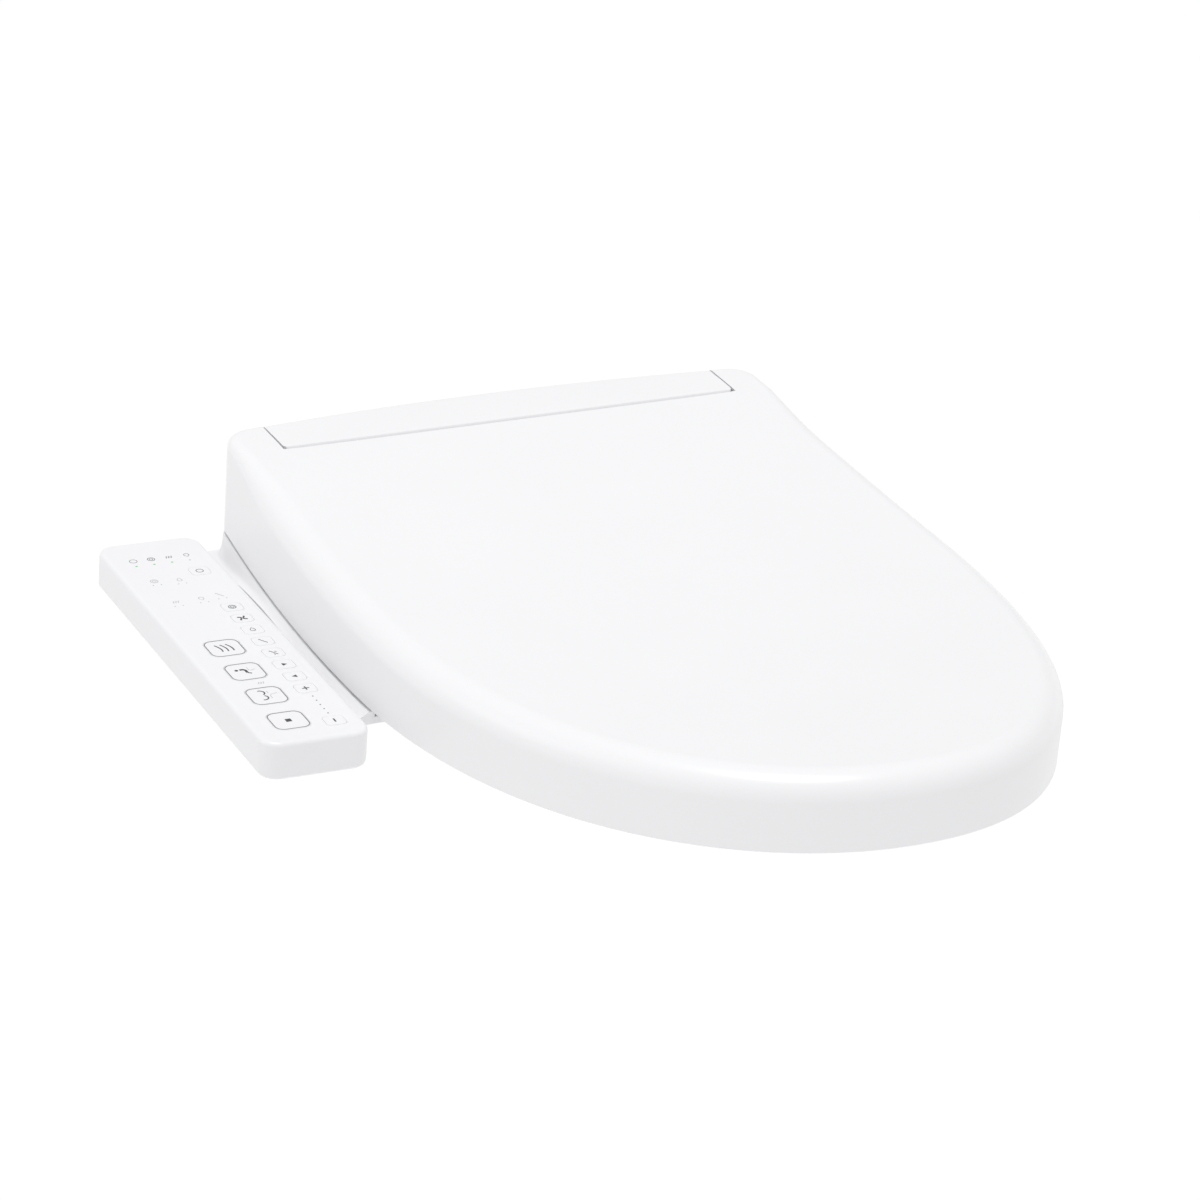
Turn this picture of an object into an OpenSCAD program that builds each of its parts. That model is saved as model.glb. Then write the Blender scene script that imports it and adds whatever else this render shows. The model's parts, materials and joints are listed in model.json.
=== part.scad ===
// Electric bidet seat with a side control panel.
// Millimetres, +Z up. The origin is on the bowl's rim plane, midway between the two fixing bolts.
// The front of the seat points to -Y, and the control panel hangs on the -X side.

/* [Lid] */
// Width of the lid
lid_w = 383; // [376:1:390]
// Distance from the bolt line to the lid's front
lid_front = 477; // [465:1:485]
// Height of the lid's top edge at the front
lid_top_front = 75; // [72:1:78]
// Height of the lid's top edge at mid length
lid_top_mid = 58.5; // [58:0.5:62]
// Height of the lid's top edge at the rear
lid_top_rear = 84; // [83:0.5:85]
// Height of the skirt's lower edge at the front
lid_low_front = 30; // [26:1:32]
// Height of the skirt's lower edge at mid length
lid_low_mid = 9.5; // [9:0.5:11]
// Height of the skirt's lower edge at the rear
lid_low_rear = 21; // [20.5:0.5:22]
// Radius of the rounding between the lid's top and its skirt
lid_fillet = 14; // [8:1:16]

/* [Seat] */
// Half width of the seat's opening
opening_half = 106; // [98:1:110]
// Distance from the bolts to the front of the seat's opening
opening_front = 386; // [370:1:392]
// Distance from the bolts to the rear of the seat's opening
opening_rear = 96; // [94:1:112]

/* [Hinge] */
// Distance of the hinge line behind the bolts
hinge_y = 32; // [31.5:0.5:32.5]
// Height of the hinge line
hinge_z = 64; // [63.5:0.5:64.5]

/* [Control panel] */
// Width of the panel
panel_w = 64; // [62:1:68]
// Length of the panel
panel_l = 277.5; // [268:0.5:290]
// Height of the panel
panel_h = 23; // [20:0.5:26]
// Corner radius of the panel in plan
panel_r = 11; // [6:1:15]

/* [Mounts] */
// Distance between the two fixing slots
bolt_gap = 140; // [136:1:144]
// Half width of a fixing slot
slot_r = 4.5; // [4:0.25:5]
// End-to-end length of a fixing slot
slot_l = 21; // [14:1:24]

/* [Washing wand] */
// Slope of the wand below the horizontal
wand_tilt = 24; // [23:0.5:25]
// Length of the wand
wand_l = 98; // [92:1:98]

/* [Hidden] */

tiny = 0.05;                  // overlap that joins two parts of one solid
lid_half = lid_w / 2;
lid_wall = 3.2;
wide_y = -179;                // where the lid is widest
front_len = lid_front + wide_y;
nose_power = 2.08;            // exponent of the front's superellipse
rear_taper = 10;              // how much each side draws in towards the rear
corner_r = 18;                // plan radius of the rear corners
corner_y = 27;
rear_y = corner_y + corner_r;
corner_x = lid_half - rear_taper - corner_r;
rear_bulge = 9;               // how far the rear edge bows out at the middle
seam_y = 10;                  // front seam of the fixed cover
rear_slope = 0.06;            // slope of the top behind that seam
span = lid_front + 37;        // length over which the side profile is stated

// Side profile: a smooth curve through a front, a middle and a rear value
function wave(y, front, mid, rear) =
    let (f = (y + lid_front) / span)
    front * (1 - f) * (1 - 2 * f) + 4 * mid * f * (1 - f) + rear * f * (2 * f - 1);
function top_wave(y) = wave(y, lid_top_front, lid_top_mid, lid_top_rear);
function top_z(y) = y < seam_y ? top_wave(y) : top_wave(seam_y) + rear_slope * (y - seam_y);
function low_z(y) = wave(y, lid_low_front, lid_low_mid, lid_low_rear);

// Plan outline, as the right half from the nose to the middle of the rear edge
function nose_pts(inset) = [
    for (a = [0 : 6 : 90])
        [(lid_half - inset) * pow(sin(a), 2 / nose_power),
         wide_y - (front_len - inset) * pow(cos(a), 2 / nose_power)]
];
function side_x(y) = lid_half - rear_taper * pow((y - wide_y) / (corner_y - wide_y), 2);
function side_pts(inset, y_from, y_to, n) = [
    for (i = [1 : n])
        let (y = y_from + (y_to - y_from) * i / n)
        [side_x(y) - inset, y]
];
function corner_pts(inset) = [
    for (a = [15 : 15 : 90])
        [corner_x + (corner_r - inset) * cos(a), corner_y + (corner_r - inset) * sin(a)]
];
function rear_pts(inset, half = corner_x, n = 4) = [
    for (i = [1 : n])
        let (x = half * (1 - i / n))
        [x, rear_y - inset + rear_bulge * (1 - pow(x / corner_x, 2))]
];
function backwards(list) = [for (i = [len(list) - 1 : -1 : 0]) list[i]];
function both_sides(half) =
    concat(half, backwards([for (i = [1 : len(half) - 2]) [-half[i][0], half[i][1]]]));
function lid_outline(inset) = both_sides(concat(
    nose_pts(inset), side_pts(inset, wide_y, corner_y, 6), corner_pts(inset), rear_pts(inset)));
// The base unit has the lid's outline, cut off straight at the housing's front
function base_outline(inset, front) = both_sides(concat(
    [[0, front], [side_x(front) - inset, front]],
    side_pts(inset, front, corner_y, 4), corner_pts(inset), rear_pts(inset)));
function round_rect(w, l, r) = [
    for (q = [0 : 3], i = [0 : 6])
        let (a = 90 * q + 15 * i,
             sx = (q == 0 || q == 3) ? 1 : -1,
             sy = (q < 2) ? 1 : -1)
        [sx * (w / 2 - r) + r * cos(a), sy * (l / 2 - r) + r * sin(a)]
];
function at_height(outline, drop_from_top) = [
    for (p = outline) [p[0], p[1], top_z(p[1]) - drop_from_top]
];
function at_low(outline, lift) = [for (p = outline) [p[0], p[1], low_z(p[1]) + lift]];

// Loops of equal length skinned into one solid. A ring closes on itself; otherwise the end loops,
// whose left and right points mirror each other, are closed with strips from side to side.
module skin_loops(loops, ring) {
    n = len(loops[0]);
    m = len(loops);
    half = n / 2;
    points = [for (loop = loops, p = loop) p];
    walls = [
        for (k = [0 : ring ? m - 1 : m - 2], i = [0 : n - 1])
            let (a = k * n + i,
                 b = k * n + (i + 1) % n,
                 c = ((k + 1) % m) * n + (i + 1) % n,
                 d = ((k + 1) % m) * n + i)
            each [[a, c, b], [a, d, c]]
    ];
    top = (m - 1) * n;
    caps = ring ? [] : concat(
        [[0, 1, n - 1], [half - 1, half, half + 1],
         [top + 1, top, top + n - 1], [top + half, top + half - 1, top + half + 1]],
        [for (i = [1 : half - 2]) each [
            [i, i + 1, n - i - 1], [i, n - i - 1, n - i],
            [top + i + 1, top + i, top + n - i], [top + i + 1, top + n - i, top + n - i - 1]]]);
    polyhedron(points, concat(walls, caps), convexity = 6);
}
module along_x(x0, x1) {
    translate([x0, 0, 0])
        rotate([90, 0, 90])
            linear_extrude(x1 - x0)
                children();
}
module block(x0, x1, y0, y1, z0, z1) {
    translate([x0, y0, z0])
        cube([x1 - x0, y1 - y0, z1 - z0]);
}
module rod_x(x0, x1, y, z, r, fn = 48) {
    translate([x0, y, z])
        rotate([0, 90, 0])
            cylinder(h = x1 - x0, r = r, $fn = fn);
}
module rod_y(x, y0, y1, z, r, fn = 48) {
    translate([x, y0, z])
        rotate([-90, 0, 0])
            cylinder(h = y1 - y0, r = r, $fn = fn);
}
module rod_z(x, y, z0, z1, r, fn = 48) {
    translate([x, y, z0])
        cylinder(h = z1 - z0, r = r, $fn = fn);
}
module both_x() {
    children();
    mirror([1, 0, 0])
        children();
}

/* ---------- fixing plate that stays on the bowl ---------- */
plate_half = 100;
plate_y = 40;
plate_z = 4;
slide_half = 17;

module slot_cuts() {
    both_x()
        translate([bolt_gap / 2, 0, -1]) {
            for (s = [-1, 1])
                translate([s * (slot_l / 2 - slot_r), 0, 0])
                    cylinder(h = plate_z + 2, r = slot_r, $fn = 48);
            translate([-(slot_l / 2 - slot_r), -slot_r, 0])
                cube([slot_l - 2 * slot_r, 2 * slot_r, plate_z + 2]);
        }
}
module base_plate() {
    color("gainsboro")
        difference() {
            union() {
                linear_extrude(plate_z - 1)
                    polygon(round_rect(2 * plate_half, 2 * plate_y, 8));
                block(-50, 50, -30, 30, plate_z - 1 - tiny, plate_z);
                both_x()
                    block(plate_half - 8, plate_half - 3, -34, 34, plate_z - 1 - tiny, plate_z);
            }
            slot_cuts();
            block(-14, 14, -20, 20, -1, plate_z + 1);
        }
}
module clamp_slides() {
    color("silver")
        difference() {
            both_x()
                block(bolt_gap / 2 - slide_half, bolt_gap / 2 + slide_half, -14, 14,
                      plate_z - 1, plate_z);
            slot_cuts();
        }
}

/* ---------- base unit: casings ---------- */
wall = 2.5;
housing_half = 152;
housing_front = -56;
housing_rear = 43.5;
housing_top = 71.8;
deck_z = 18;
shoulder_z = 14.3;            // height of the case along the skirt
shoulder_rear = 28;
bay_half = plate_half + 1;
bay_z = plate_z + 0.4;
bay_top = bay_z + wall;
panel_at = [-226.7, -82.2];   // middle of the panel
panel_turn = -2.1;            // the panel's front end stands a little further out
panel_top = 9.5;
flange_z = 4;
flange_front = -197;
flange_rear = 42;
module on_panel() {
    translate([panel_at[0], panel_at[1], 0])
        rotate(panel_turn)
            children();
}
// Place of the panel's inner side, where the flange meets it
function panel_side(y) = [
    panel_at[0] + panel_w / 2 / cos(panel_turn) - (y - panel_at[1]) * tan(panel_turn), y];
outlet = [28, 66, 7, 16];     // dryer outlet: x from, x to, z from, z to
drawer = [-30, 6, 4.5, 14];   // deodoriser drawer: y from, y to, z from, z to
drawer_in = 118;              // inner end of the drawer
button_y = -44;
button_z = 8;
drain_x = -60;
drain_z = 9;
drain_r = 5.5;
inlet = [160, 28];
inlet_r = 10.48;              // G 1/2 thread
gland_x = 120;
gland_z = 10;
gland_r = 6;
pad_at = [-36, 14];           // front edges of the rubber pads let into the floor

// The wand's own frame: z runs back up along its axis, and y points up and square to it
wand_z = 12;                  // height of the wand's axis at the housing's front face
wand_port_r = 9.2;
module wand_axis() {
    translate([0, housing_front, wand_z])
        rotate([wand_tilt - 90, 0, 0])
            mirror([0, 1, 0])
                children();
}
module wand_port() {
    wand_axis()
        translate([0, 0, -40])
            cylinder(h = 60, r = wand_port_r, $fn = 48);
}
// Region under the lid's skirt that the case keeps out of
module skirt_room() {
    difference() {
        along_x(-lid_half - 1, lid_half + 1)
            polygon(concat(
                [for (y = [-60 : 10 : 60]) [y, low_z(y) - 1.5]],
                [[60, 40], [-60, 40]]));
        outline_block(5.5);
    }
    shoulder(14, shoulder_rear, shoulder_z);
}
// Room beside the deck, which is narrower along the skirt
module shoulder(inset, rear, low) {
    difference() {
        block(-lid_half - 1, lid_half + 1, -60, rear, low, 40);
        outline_block(inset);
    }
}
module outline_block(inset) {
    translate([0, 0, -1])
        linear_extrude(60)
            polygon(base_outline(inset, -70));
}
module lower_case() {
    color("whitesmoke")
        difference() {
            union() {
                difference() {
                    linear_extrude(deck_z)
                        polygon(base_outline(0, housing_front));
                    difference() {
                        translate([0, 0, 3])
                            linear_extrude(deck_z - 5)
                                polygon(base_outline(7.5, housing_front + wall));
                        shoulder(16.5, shoulder_rear + 2, shoulder_z - 2);
                    }
                    block(-housing_half + wall, housing_half - wall, housing_front + wall,
                          housing_rear - wall, deck_z - 3, deck_z + 1);
                }
                block(-bay_half - wall, bay_half + wall, -46, 42, 2, bay_top);
                linear_extrude(flange_z)
                    polygon([panel_side(flange_front), [-165, flange_front],
                        [-165, housing_front + 1], [-175, housing_front + 1],
                        [-175, flange_rear], panel_side(flange_rear)]);
                // low ledge on the flange, under the skirt's edge
                along_x(-190, -178)
                    polygon(concat([[flange_front, 0], [housing_front + 1, 0]],
                        [for (i = [0 : 7])
                            let (y = housing_front + 1 + (flange_front - housing_front - 1) * i / 7)
                            [y, max(low_z(y) - 5, flange_z)]]));
                both_x()
                    for (y = [-42, 34])
                        rod_z(143, y, 2, deck_z - 1, 3.5, 24);
                // lugs for the dryer flap's pin
                for (x = [outlet[0] - 4, outlet[1] + 2]) {
                    block(x, x + 2, -60.5, housing_front, 14, flap_z + 2.2);
                    block(x, x + 2, -57, housing_front + tiny, 14, deck_z - 1);
                }
            }
            skirt_room();
            block(-bay_half, bay_half, -42, 80, -1, bay_z);
            wand_port();
            block(outlet[0], outlet[1], housing_front - 1, housing_front + wall + 1,
                  outlet[2], outlet[3]);
            both_x()
                block(bolt_gap / 2 - 16, bolt_gap / 2 + 16, -9, 9, bay_z - 1, bay_top + 1);
            block(drawer_in - 1, lid_half, drawer[0] - 0.5, drawer[1] + 0.5,
                  drawer[2] - 0.5, drawer[3] + 0.5);
            block(172, lid_half, button_y - 7.3, button_y + 7.3, button_z - 4.3, button_z + 4.3);
            rod_y(drain_x, housing_front - 1, housing_front + wall + 1, drain_z, drain_r + 0.05);
            rod_z(inlet[0], inlet[1], -1, 4, 8);
            rod_y(gland_x, 40, 60, gland_z, gland_r);
            rod_x(outlet[0] - 5, outlet[1] + 5, flap_y, flap_z, flap_pin_r + 0.05, 24);
            both_x() {
                for (y = [-42, 34])
                    rod_z(143, y, -1, deck_z + 1, 1.5, 24);
                for (y = pad_at)
                    block(112, 142, y, y + 12, -1, 1.5);
            }
        }
}

// Side profile of the upper housing, drawn in by a wall
function housing_profile(t) = [
    [housing_front + t, deck_z - (t > 0 ? 1 : 0)],
    [housing_front + t, 40 - t / 3],
    [-14 + t / 2, 63 - t],
    [2 + t / 2, housing_top - t],
    [housing_rear - t, housing_top - t],
    [housing_rear - t, deck_z - (t > 0 ? 1 : 0)]
];
module upper_case() {
    color("white")
        difference() {
            along_x(-housing_half, housing_half)
                polygon(housing_profile(0));
            along_x(-housing_half + wall, housing_half - wall)
                polygon(housing_profile(wall));
            both_x()
                rod_x(housing_half - wall - 1, housing_half + 1, hinge_y, hinge_z, shaft_r);
            wand_port();
            for (i = [0 : 7])
                block(-110 + 9 * i, -106 + 9 * i, housing_rear - wall - 1, housing_rear + 1, 24, 44);
        }
}

cover_half = 153.2;
seam_r = 27;                  // radius of the lid's notch edge about the hinge line
seam_gap = 1.2;
cover_top = 80.4;
cover_corner = [6, 14];       // how the cover's front corners are cut back, across and along
cover_rear_r = 11;
cover_rear = rear_y + rear_bulge;

function arc(cy, cz, r, a0, a1, n) = [
    for (i = [0 : n])
        let (a = a0 + (a1 - a0) * i / n)
        [cy + r * cos(a), cz + r * sin(a)]
];
// Side profile of the fixed cover: its front follows a circle about the hinge line
function cover_profile(t) = concat(
    arc(hinge_y, hinge_z, seam_r - seam_gap - t, 162, 145, 4),
    [[20, cover_top - t], [34, cover_top + 0.6 - t]],
    arc(cover_rear - cover_rear_r, cover_top + 0.6 - cover_rear_r, cover_rear_r - t, 80, 0, 5),
    [[cover_rear - t, 58 - t],
     [housing_rear + 0.3, 58 - t],
     [housing_rear + 0.3, housing_top + 0.2 - t]]);
module top_cover() {
    plan = both_sides(concat(
        [[0, 0], [cover_half - cover_corner[0], 0], [cover_half, cover_corner[1]]],
        [for (i = [0 : 8])
            let (x = cover_half * (1 - i / 8))
            [x, rear_y + rear_bulge * (1 - pow(x / corner_x, 2))]]));
    color("white")
        difference() {
            intersection() {
                along_x(-cover_half, cover_half)
                    polygon(cover_profile(0));
                translate([0, 0, 50])
                    linear_extrude(50)
                        polygon(plan);
            }
            intersection() {
                along_x(-cover_half + wall, cover_half - wall)
                    polygon(cover_profile(wall));
                translate([0, -wall, 50])
                    linear_extrude(50)
                        polygon(plan);
            }
        }
}
module case_pads() {
    color("dimgray")
        both_x()
            for (y = pad_at)
                block(112, 142, y, y + 12, 0, 1.5);
}
module screws() {
    color("silver") {
        both_x()
            for (y = [-42, 34])
                rod_z(143, y, 0.2, 12, 1.5, 24);
        on_panel()
            for (y = [-1, 1] * panel_screw)
                rod_z(0, y, panel_top - panel_h + 0.2, -3.2, 1.5, 24);
    }
}

/* ---------- hinge line ---------- */
shaft_r = 4;
bore_gap = 0.05;              // running clearance of the bores on the shafts
boss_r = 9;
arm_x0 = 155.5;
arm_x1 = 162.5;
lug_x0 = 164;
lug_x1 = 170;

module hinge_shafts() {
    color("silver")
        both_x()
            rod_x(128, lug_x1 + 1, hinge_y, hinge_z, shaft_r);
}
module soft_close_dampers() {
    color("dimgray")
        both_x()
            difference() {
                union() {
                    rod_x(96, housing_half - wall, hinge_y, hinge_z - 1, 6.2);
                    block(104, 140, hinge_y - 5, hinge_y + 5, hinge_z - 14, hinge_z - 4);
                }
                rod_x(128, housing_half, hinge_y, hinge_z, shaft_r);
            }
}

/* ---------- washing wand ---------- */
wand_r = 7.5;
wand_start = 2;               // how far the tip stands back from the housing's front face
tip_l = 16;
rack_root = 4.1;
rack_pitch_y = 5.1;
tooth_h = 0.9;                // tooth height above and below the pitch line
tooth_pitch = 4;
pinion_teeth = 10;
pinion_pitch_r = tooth_pitch * pinion_teeth / (2 * PI);
pinion_at = 28;               // the pinion's place along the wand
pinion_y = rack_pitch_y + pinion_pitch_r;
pinion_bore = 1.5;

module wand_tube() {
    color("whitesmoke")
        wand_axis() {
            difference() {
                translate([0, 0, wand_start + tip_l])
                    cylinder(h = wand_l - tip_l, r = wand_r, $fn = 64);
                translate([-3, rack_root, wand_start + tip_l + 4])
                    cube([6, 10, wand_l]);
                translate([0, -2, wand_start + tip_l - 1])
                    cylinder(h = wand_l, r = 2.5, $fn = 32);
            }
            // rack teeth stand halfway between the pinion's teeth
            for (i = [-1 : 17])
                translate([-3 + tiny, rack_root - tiny, pinion_at + (i + 0.5) * tooth_pitch])
                    rotate([0, 90, 0])
                        linear_extrude(6 - 2 * tiny)
                            polygon([[-1.2, 0], [1.2, 0], [0.45, 2 * tooth_h], [-0.45, 2 * tooth_h]]);
        }
}
module wand_tip() {
    color("white")
        wand_axis()
            difference() {
                translate([0, 0, wand_start])
                    cylinder(h = tip_l, r = wand_r, $fn = 64);
                for (s = [4, 8])
                    translate([0, wand_r - 2, wand_start + s])
                        rotate([-90, 0, 0])
                            cylinder(h = 4, r = 0.8, $fn = 24);
            }
}
module wand_guide() {
    color("lightgray")
        difference() {
            union() {
                wand_axis()
                    translate([0, 0, 22])
                        cylinder(h = 62, r = wand_r + 2.3, $fn = 64);
                block(-8, 8, -34, -14, bay_top, 24);
                block(-8, 8, 0, 12, bay_top, 34);
            }
            wand_axis() {
                translate([0, 0, -20])
                    cylinder(h = 140, r = wand_r + 0.06, $fn = 64);
                translate([-3.6, 3, 0])
                    cube([7.2, 30, 120]);
            }
        }
}
module wand_pinion() {
    color("ivory")
        wand_axis()
            translate([-2.4, pinion_y, pinion_at])
                rotate([0, 90, 0])
                    difference() {
                        union() {
                            cylinder(h = 4.8, r = pinion_pitch_r - tooth_h, $fn = 48);
                            for (i = [0 : pinion_teeth - 1])
                                rotate([0, 0, 360 / pinion_teeth * i - 90])
                                    linear_extrude(4.8)
                                        polygon([[4, -1.15], [pinion_pitch_r, -0.75],
                                                 [pinion_pitch_r + 0.7, -0.35],
                                                 [pinion_pitch_r + 0.7, 0.35],
                                                 [pinion_pitch_r, 0.75], [4, 1.15]]);
                        }
                        translate([0, 0, -1])
                            cylinder(h = 8, r = pinion_bore, $fn = 32);
                    }
}
module wand_motor() {
    color("dimgray")
        wand_axis() {
            translate([10.6, pinion_y, pinion_at])
                rotate([0, 90, 0])
                    cylinder(h = 18, r = 9, $fn = 48);
            translate([-2.8, pinion_y, pinion_at])
                rotate([0, 90, 0])
                    cylinder(h = 14, r = pinion_bore - bore_gap, $fn = 32);
        }
}

/* ---------- warm air dryer ---------- */
fan_x = 88;
fan_y = 8;
fan_r = 25;
fan_z0 = 26;
fan_z1 = 50;
flap_y = -58.4;
flap_z = 18.4;
flap_pin_r = 1.2;

module fan_housing() {
    color("lightgray")
        difference() {
            union() {
                rod_z(fan_x, fan_y, fan_z0, fan_z1, fan_r, 64);
                block(fan_x - 54, fan_x - 6, -16, fan_y, fan_z0, fan_z1);
            }
            rod_z(fan_x, fan_y, fan_z0 + 1.6, fan_z1 - 1.6, fan_r - 1.6, 64);
            block(fan_x - 52, fan_x - 8, -17, fan_y - 1.6, fan_z0 + 1.6, fan_z1 - 1.6);
            rod_z(fan_x, fan_y, fan_z1 - 2, fan_z1 + 1, 14);
            rod_z(fan_x, fan_y, fan_z0 - 1, fan_z0 + 3, 3);
        }
}
module fan_motor() {
    color("dimgray") {
        rod_z(fan_x, fan_y, fan_z0 - 15, fan_z0, 11);
        rod_z(fan_x, fan_y, fan_z0 - 1, fan_z0 + 18, 1.5, 32);
    }
}
module fan_impeller() {
    blades = 20;
    color("darkgray")
        difference() {
            union() {
                rod_z(fan_x, fan_y, fan_z0 + 3, fan_z0 + 4.6, 20, 64);
                rod_z(fan_x, fan_y, fan_z0 + 3, fan_z0 + 14, 4, 32);
                for (i = [0 : blades - 1])
                    translate([fan_x, fan_y, fan_z0 + 4])
                        rotate([0, 0, 360 / blades * i])
                            translate([15, -0.5, 0])
                                cube([5, 1, 15]);
            }
            rod_z(fan_x, fan_y, fan_z0, fan_z0 + 20, 1.5 + bore_gap, 32);
        }
}
// Side profile of the duct from the fan's mouth down to the outlet
function duct_profile(t) = [
    [housing_front + wall, 5.5 + t],
    [-50 + t / 3, 5.5 + t],
    [-16, fan_z0 + t],
    [-16, fan_z1 - t],
    [-28 - t / 3, fan_z1 - 6 - t],
    [housing_front + wall, outlet[3] + 1.5 - t]
];
module dryer_duct() {
    color("lightgray")
        difference() {
            along_x(fan_x - 54, fan_x - 20)
                polygon(duct_profile(0));
            along_x(fan_x - 52.5, fan_x - 21.5)
                polygon(concat([[-60, duct_profile(1.4)[0][1]]], [duct_profile(1.4)[1]],
                    [[-10, fan_z0 + 1.4 + 3.6], [-10, fan_z1 - 1.4]],
                    [duct_profile(1.4)[4]], [[-60, duct_profile(1.4)[5][1]]]));
        }
}
module dryer_heater() {
    color("silver") {
        for (i = [0 : 5])
            block(fan_x - 50 + 5 * i, fan_x - 49 + 5 * i, -27, -19, 31, 40);
        rod_x(fan_x - 51, fan_x - 23, -23, 35, 1.4, 24);
    }
}
module dryer_flap() {
    color("whitesmoke") {
        block(outlet[0] - 0.5, outlet[1] + 0.5, flap_y - 0.9, flap_y + 0.9, 5, flap_z);
        rod_x(outlet[0] - 4, outlet[1] + 4, flap_y, flap_z, flap_pin_r, 24);
    }
}

/* ---------- water path ---------- */
tank_x = -53;                 // middle of the warm water tank

module water_tank() {
    color("whitesmoke")
        difference() {
            block(tank_x - 37, tank_x + 37, -14, 38, 20, 60);
            block(tank_x - 34.5, tank_x + 34.5, -11.5, 35.5, 22.5, 57.5);
            rod_z(tank_x, 12, 55, 62, 9);
        }
}
module tank_heater() {
    color("silver") {
        rod_z(tank_x, 12, 57.5, 62, 9 - tiny);
        for (x = [tank_x - 5, tank_x + 5])
            rod_z(x, 12, 28, 58, 3, 32);
        block(tank_x - 5, tank_x + 5, 10, 14, 26, 30);
    }
}
module inlet_valve() {
    color("dimgray") {
        block(124, 146, 18, 40, 22, 44);
        rod_z(135, 29, 44 - tiny, 49, 7);
    }
}
module water_inlet() {
    color("goldenrod")
        difference() {
            union() {
                rod_z(inlet[0], inlet[1], -14, 0, inlet_r, 64);
                rod_z(inlet[0], inlet[1], -1, 6, 7.8);
                rod_z(inlet[0], inlet[1], 3, 6, 9.8);
            }
            rod_z(inlet[0], inlet[1], -15, 7, 5.5);
        }
}
module inner_pipes() {
    color("lightgray") {
        // inlet to valve
        rod_z(inlet[0], inlet[1], 6, 12, 6.5, 32);
        rod_x(135, inlet[0], 25, 10, 3, 24);
        rod_z(135, 25, 6, 22, 3.6, 32);
        // valve to tank, along the rear wall
        rod_x(tank_x + 37, 124, 37, 24, 2.5, 24);
        // tank to wand
        rod_x(tank_x + 37, -11, 26, 48, 2.5, 24);
    }
}
module drain_plug() {
    color("gray")
        difference() {
            union() {
                rod_y(drain_x, housing_front - 2, housing_front - 0.1, drain_z, 7.5);
                rod_y(drain_x, housing_front - 1, housing_front + 8, drain_z, drain_r);
            }
            block(drain_x - 5, drain_x + 5, housing_front - 3, housing_front - 1,
                  drain_z - 0.8, drain_z + 0.8);
        }
}

/* ---------- electrics ---------- */
module main_board() {
    color("seagreen") {
        block(14, 90, -4, 30, 61, 62.6);
        for (i = [0 : 3])
            block(20 + 18 * i, 30 + 18 * i, 2, 18, 55, 61 + tiny);
    }
}
module power_module() {
    color("darkslategray")
        block(-140, -70, -44, -20, 20, 40);
}
module cord_gland() {
    color("dimgray")
        difference() {
            union() {
                rod_y(gland_x, 38, 60, gland_z, gland_r - tiny);
                rod_y(gland_x, 38, 41, gland_z, 6.6);
            }
            rod_y(gland_x, 37, 61, gland_z, 3.5);
        }
}

/* ---------- deodoriser and release button ---------- */
module filter_drawer() {
    color("whitesmoke")
        difference() {
            block(drawer_in, side_x(-12) - 1, drawer[0], drawer[1], drawer[2], drawer[3]);
            block(drawer_in + 2, side_x(-12) - 6, drawer[0] + 2, drawer[1] - 2,
                  drawer[2] + 1.5, drawer[3] + 1);
        }
}
module filter_block() {
    color("black")
        block(drawer_in + 3, side_x(-12) - 10, drawer[0] + 3, drawer[1] - 3,
              drawer[2] + 1.5, drawer[3] - 0.5);
}
module release_button() {
    color("lightgray")
        block(176, side_x(button_y) + 0.5, button_y - 7, button_y + 7, button_z - 4, button_z + 4);
}

/* ---------- control panel: its own frame has the panel's middle at the origin ---------- */
panel_screw = panel_l / 2 - 16;
tray_top = 2.5;               // height where the tray meets the face
face_t = 2.2;
key_top = 0.5;                // how far the keys stand over the face
big_key = [21.5, 21.5];
big_x = -8.4;
big_y = -15.8;
big_step = 32.4;
side_key = [12, 11];
side_key_x = 16;
side_y = 35.3;
side_step = 16.2;
minus_at = [side_key_x, -120.5];
power_at = [side_key_x, 88.6];
lamp_at = [-17.6, 105];
lamp_step = 11.2;

module panel_plan(inset) {
    polygon(round_rect(panel_w - 2 * inset, panel_l - 2 * inset, panel_r - inset));
}
module panel_slab(inset, z0, z1) {
    on_panel()
        translate([0, 0, z0])
            linear_extrude(z1 - z0)
                panel_plan(inset);
}
function big_at(i) = [big_x, big_y - big_step * i];
function side_at(i) = [side_key_x, side_y - side_step * i];
module key_shape(at, size, gap) {
    translate([at[0], at[1], 0])
        polygon(round_rect(size[0] + 2 * gap, size[1] + 2 * gap, min(size) / 4 + gap));
}
module key_holes(gap) {
    for (i = [0 : 3])
        key_shape(big_at(i), big_key, gap);
    for (i = [0 : 7])
        key_shape(side_at(i), side_key, gap);
    key_shape(minus_at, side_key, gap);
    key_shape(power_at, side_key, gap);
}

module panel_tray() {
    color("whitesmoke")
        difference() {
            panel_slab(0, panel_top - panel_h, tray_top);
            panel_slab(2.2, panel_top - panel_h + 2, tray_top + 1);
            on_panel()
                for (y = [-1, 1] * panel_screw)
                    rod_z(0, y, panel_top - panel_h - 1, 0, 1.5, 24);
        }
}
module panel_face() {
    color("white")
        difference() {
            union() {
                panel_slab(0, tray_top, panel_top - 2);
                panel_slab(0.7, panel_top - 2 - tiny, panel_top - 0.6);
                panel_slab(2, panel_top - 0.6 - tiny, panel_top);
            }
            panel_slab(2.2, tray_top - 1, panel_top - face_t);
            panel_slab(4, panel_top - 0.3, panel_top + 1);
            on_panel()
                linear_extrude(20)
                    key_holes(0.35);
        }
}
module panel_overlay() {
    color("white")
        difference() {
            panel_slab(4 + tiny, panel_top - 0.3, panel_top);
            on_panel()
                linear_extrude(20)
                    key_holes(0.35);
        }
}
module panel_board() {
    color("seagreen")
        panel_slab(5, -3, -1.4);
}
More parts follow.
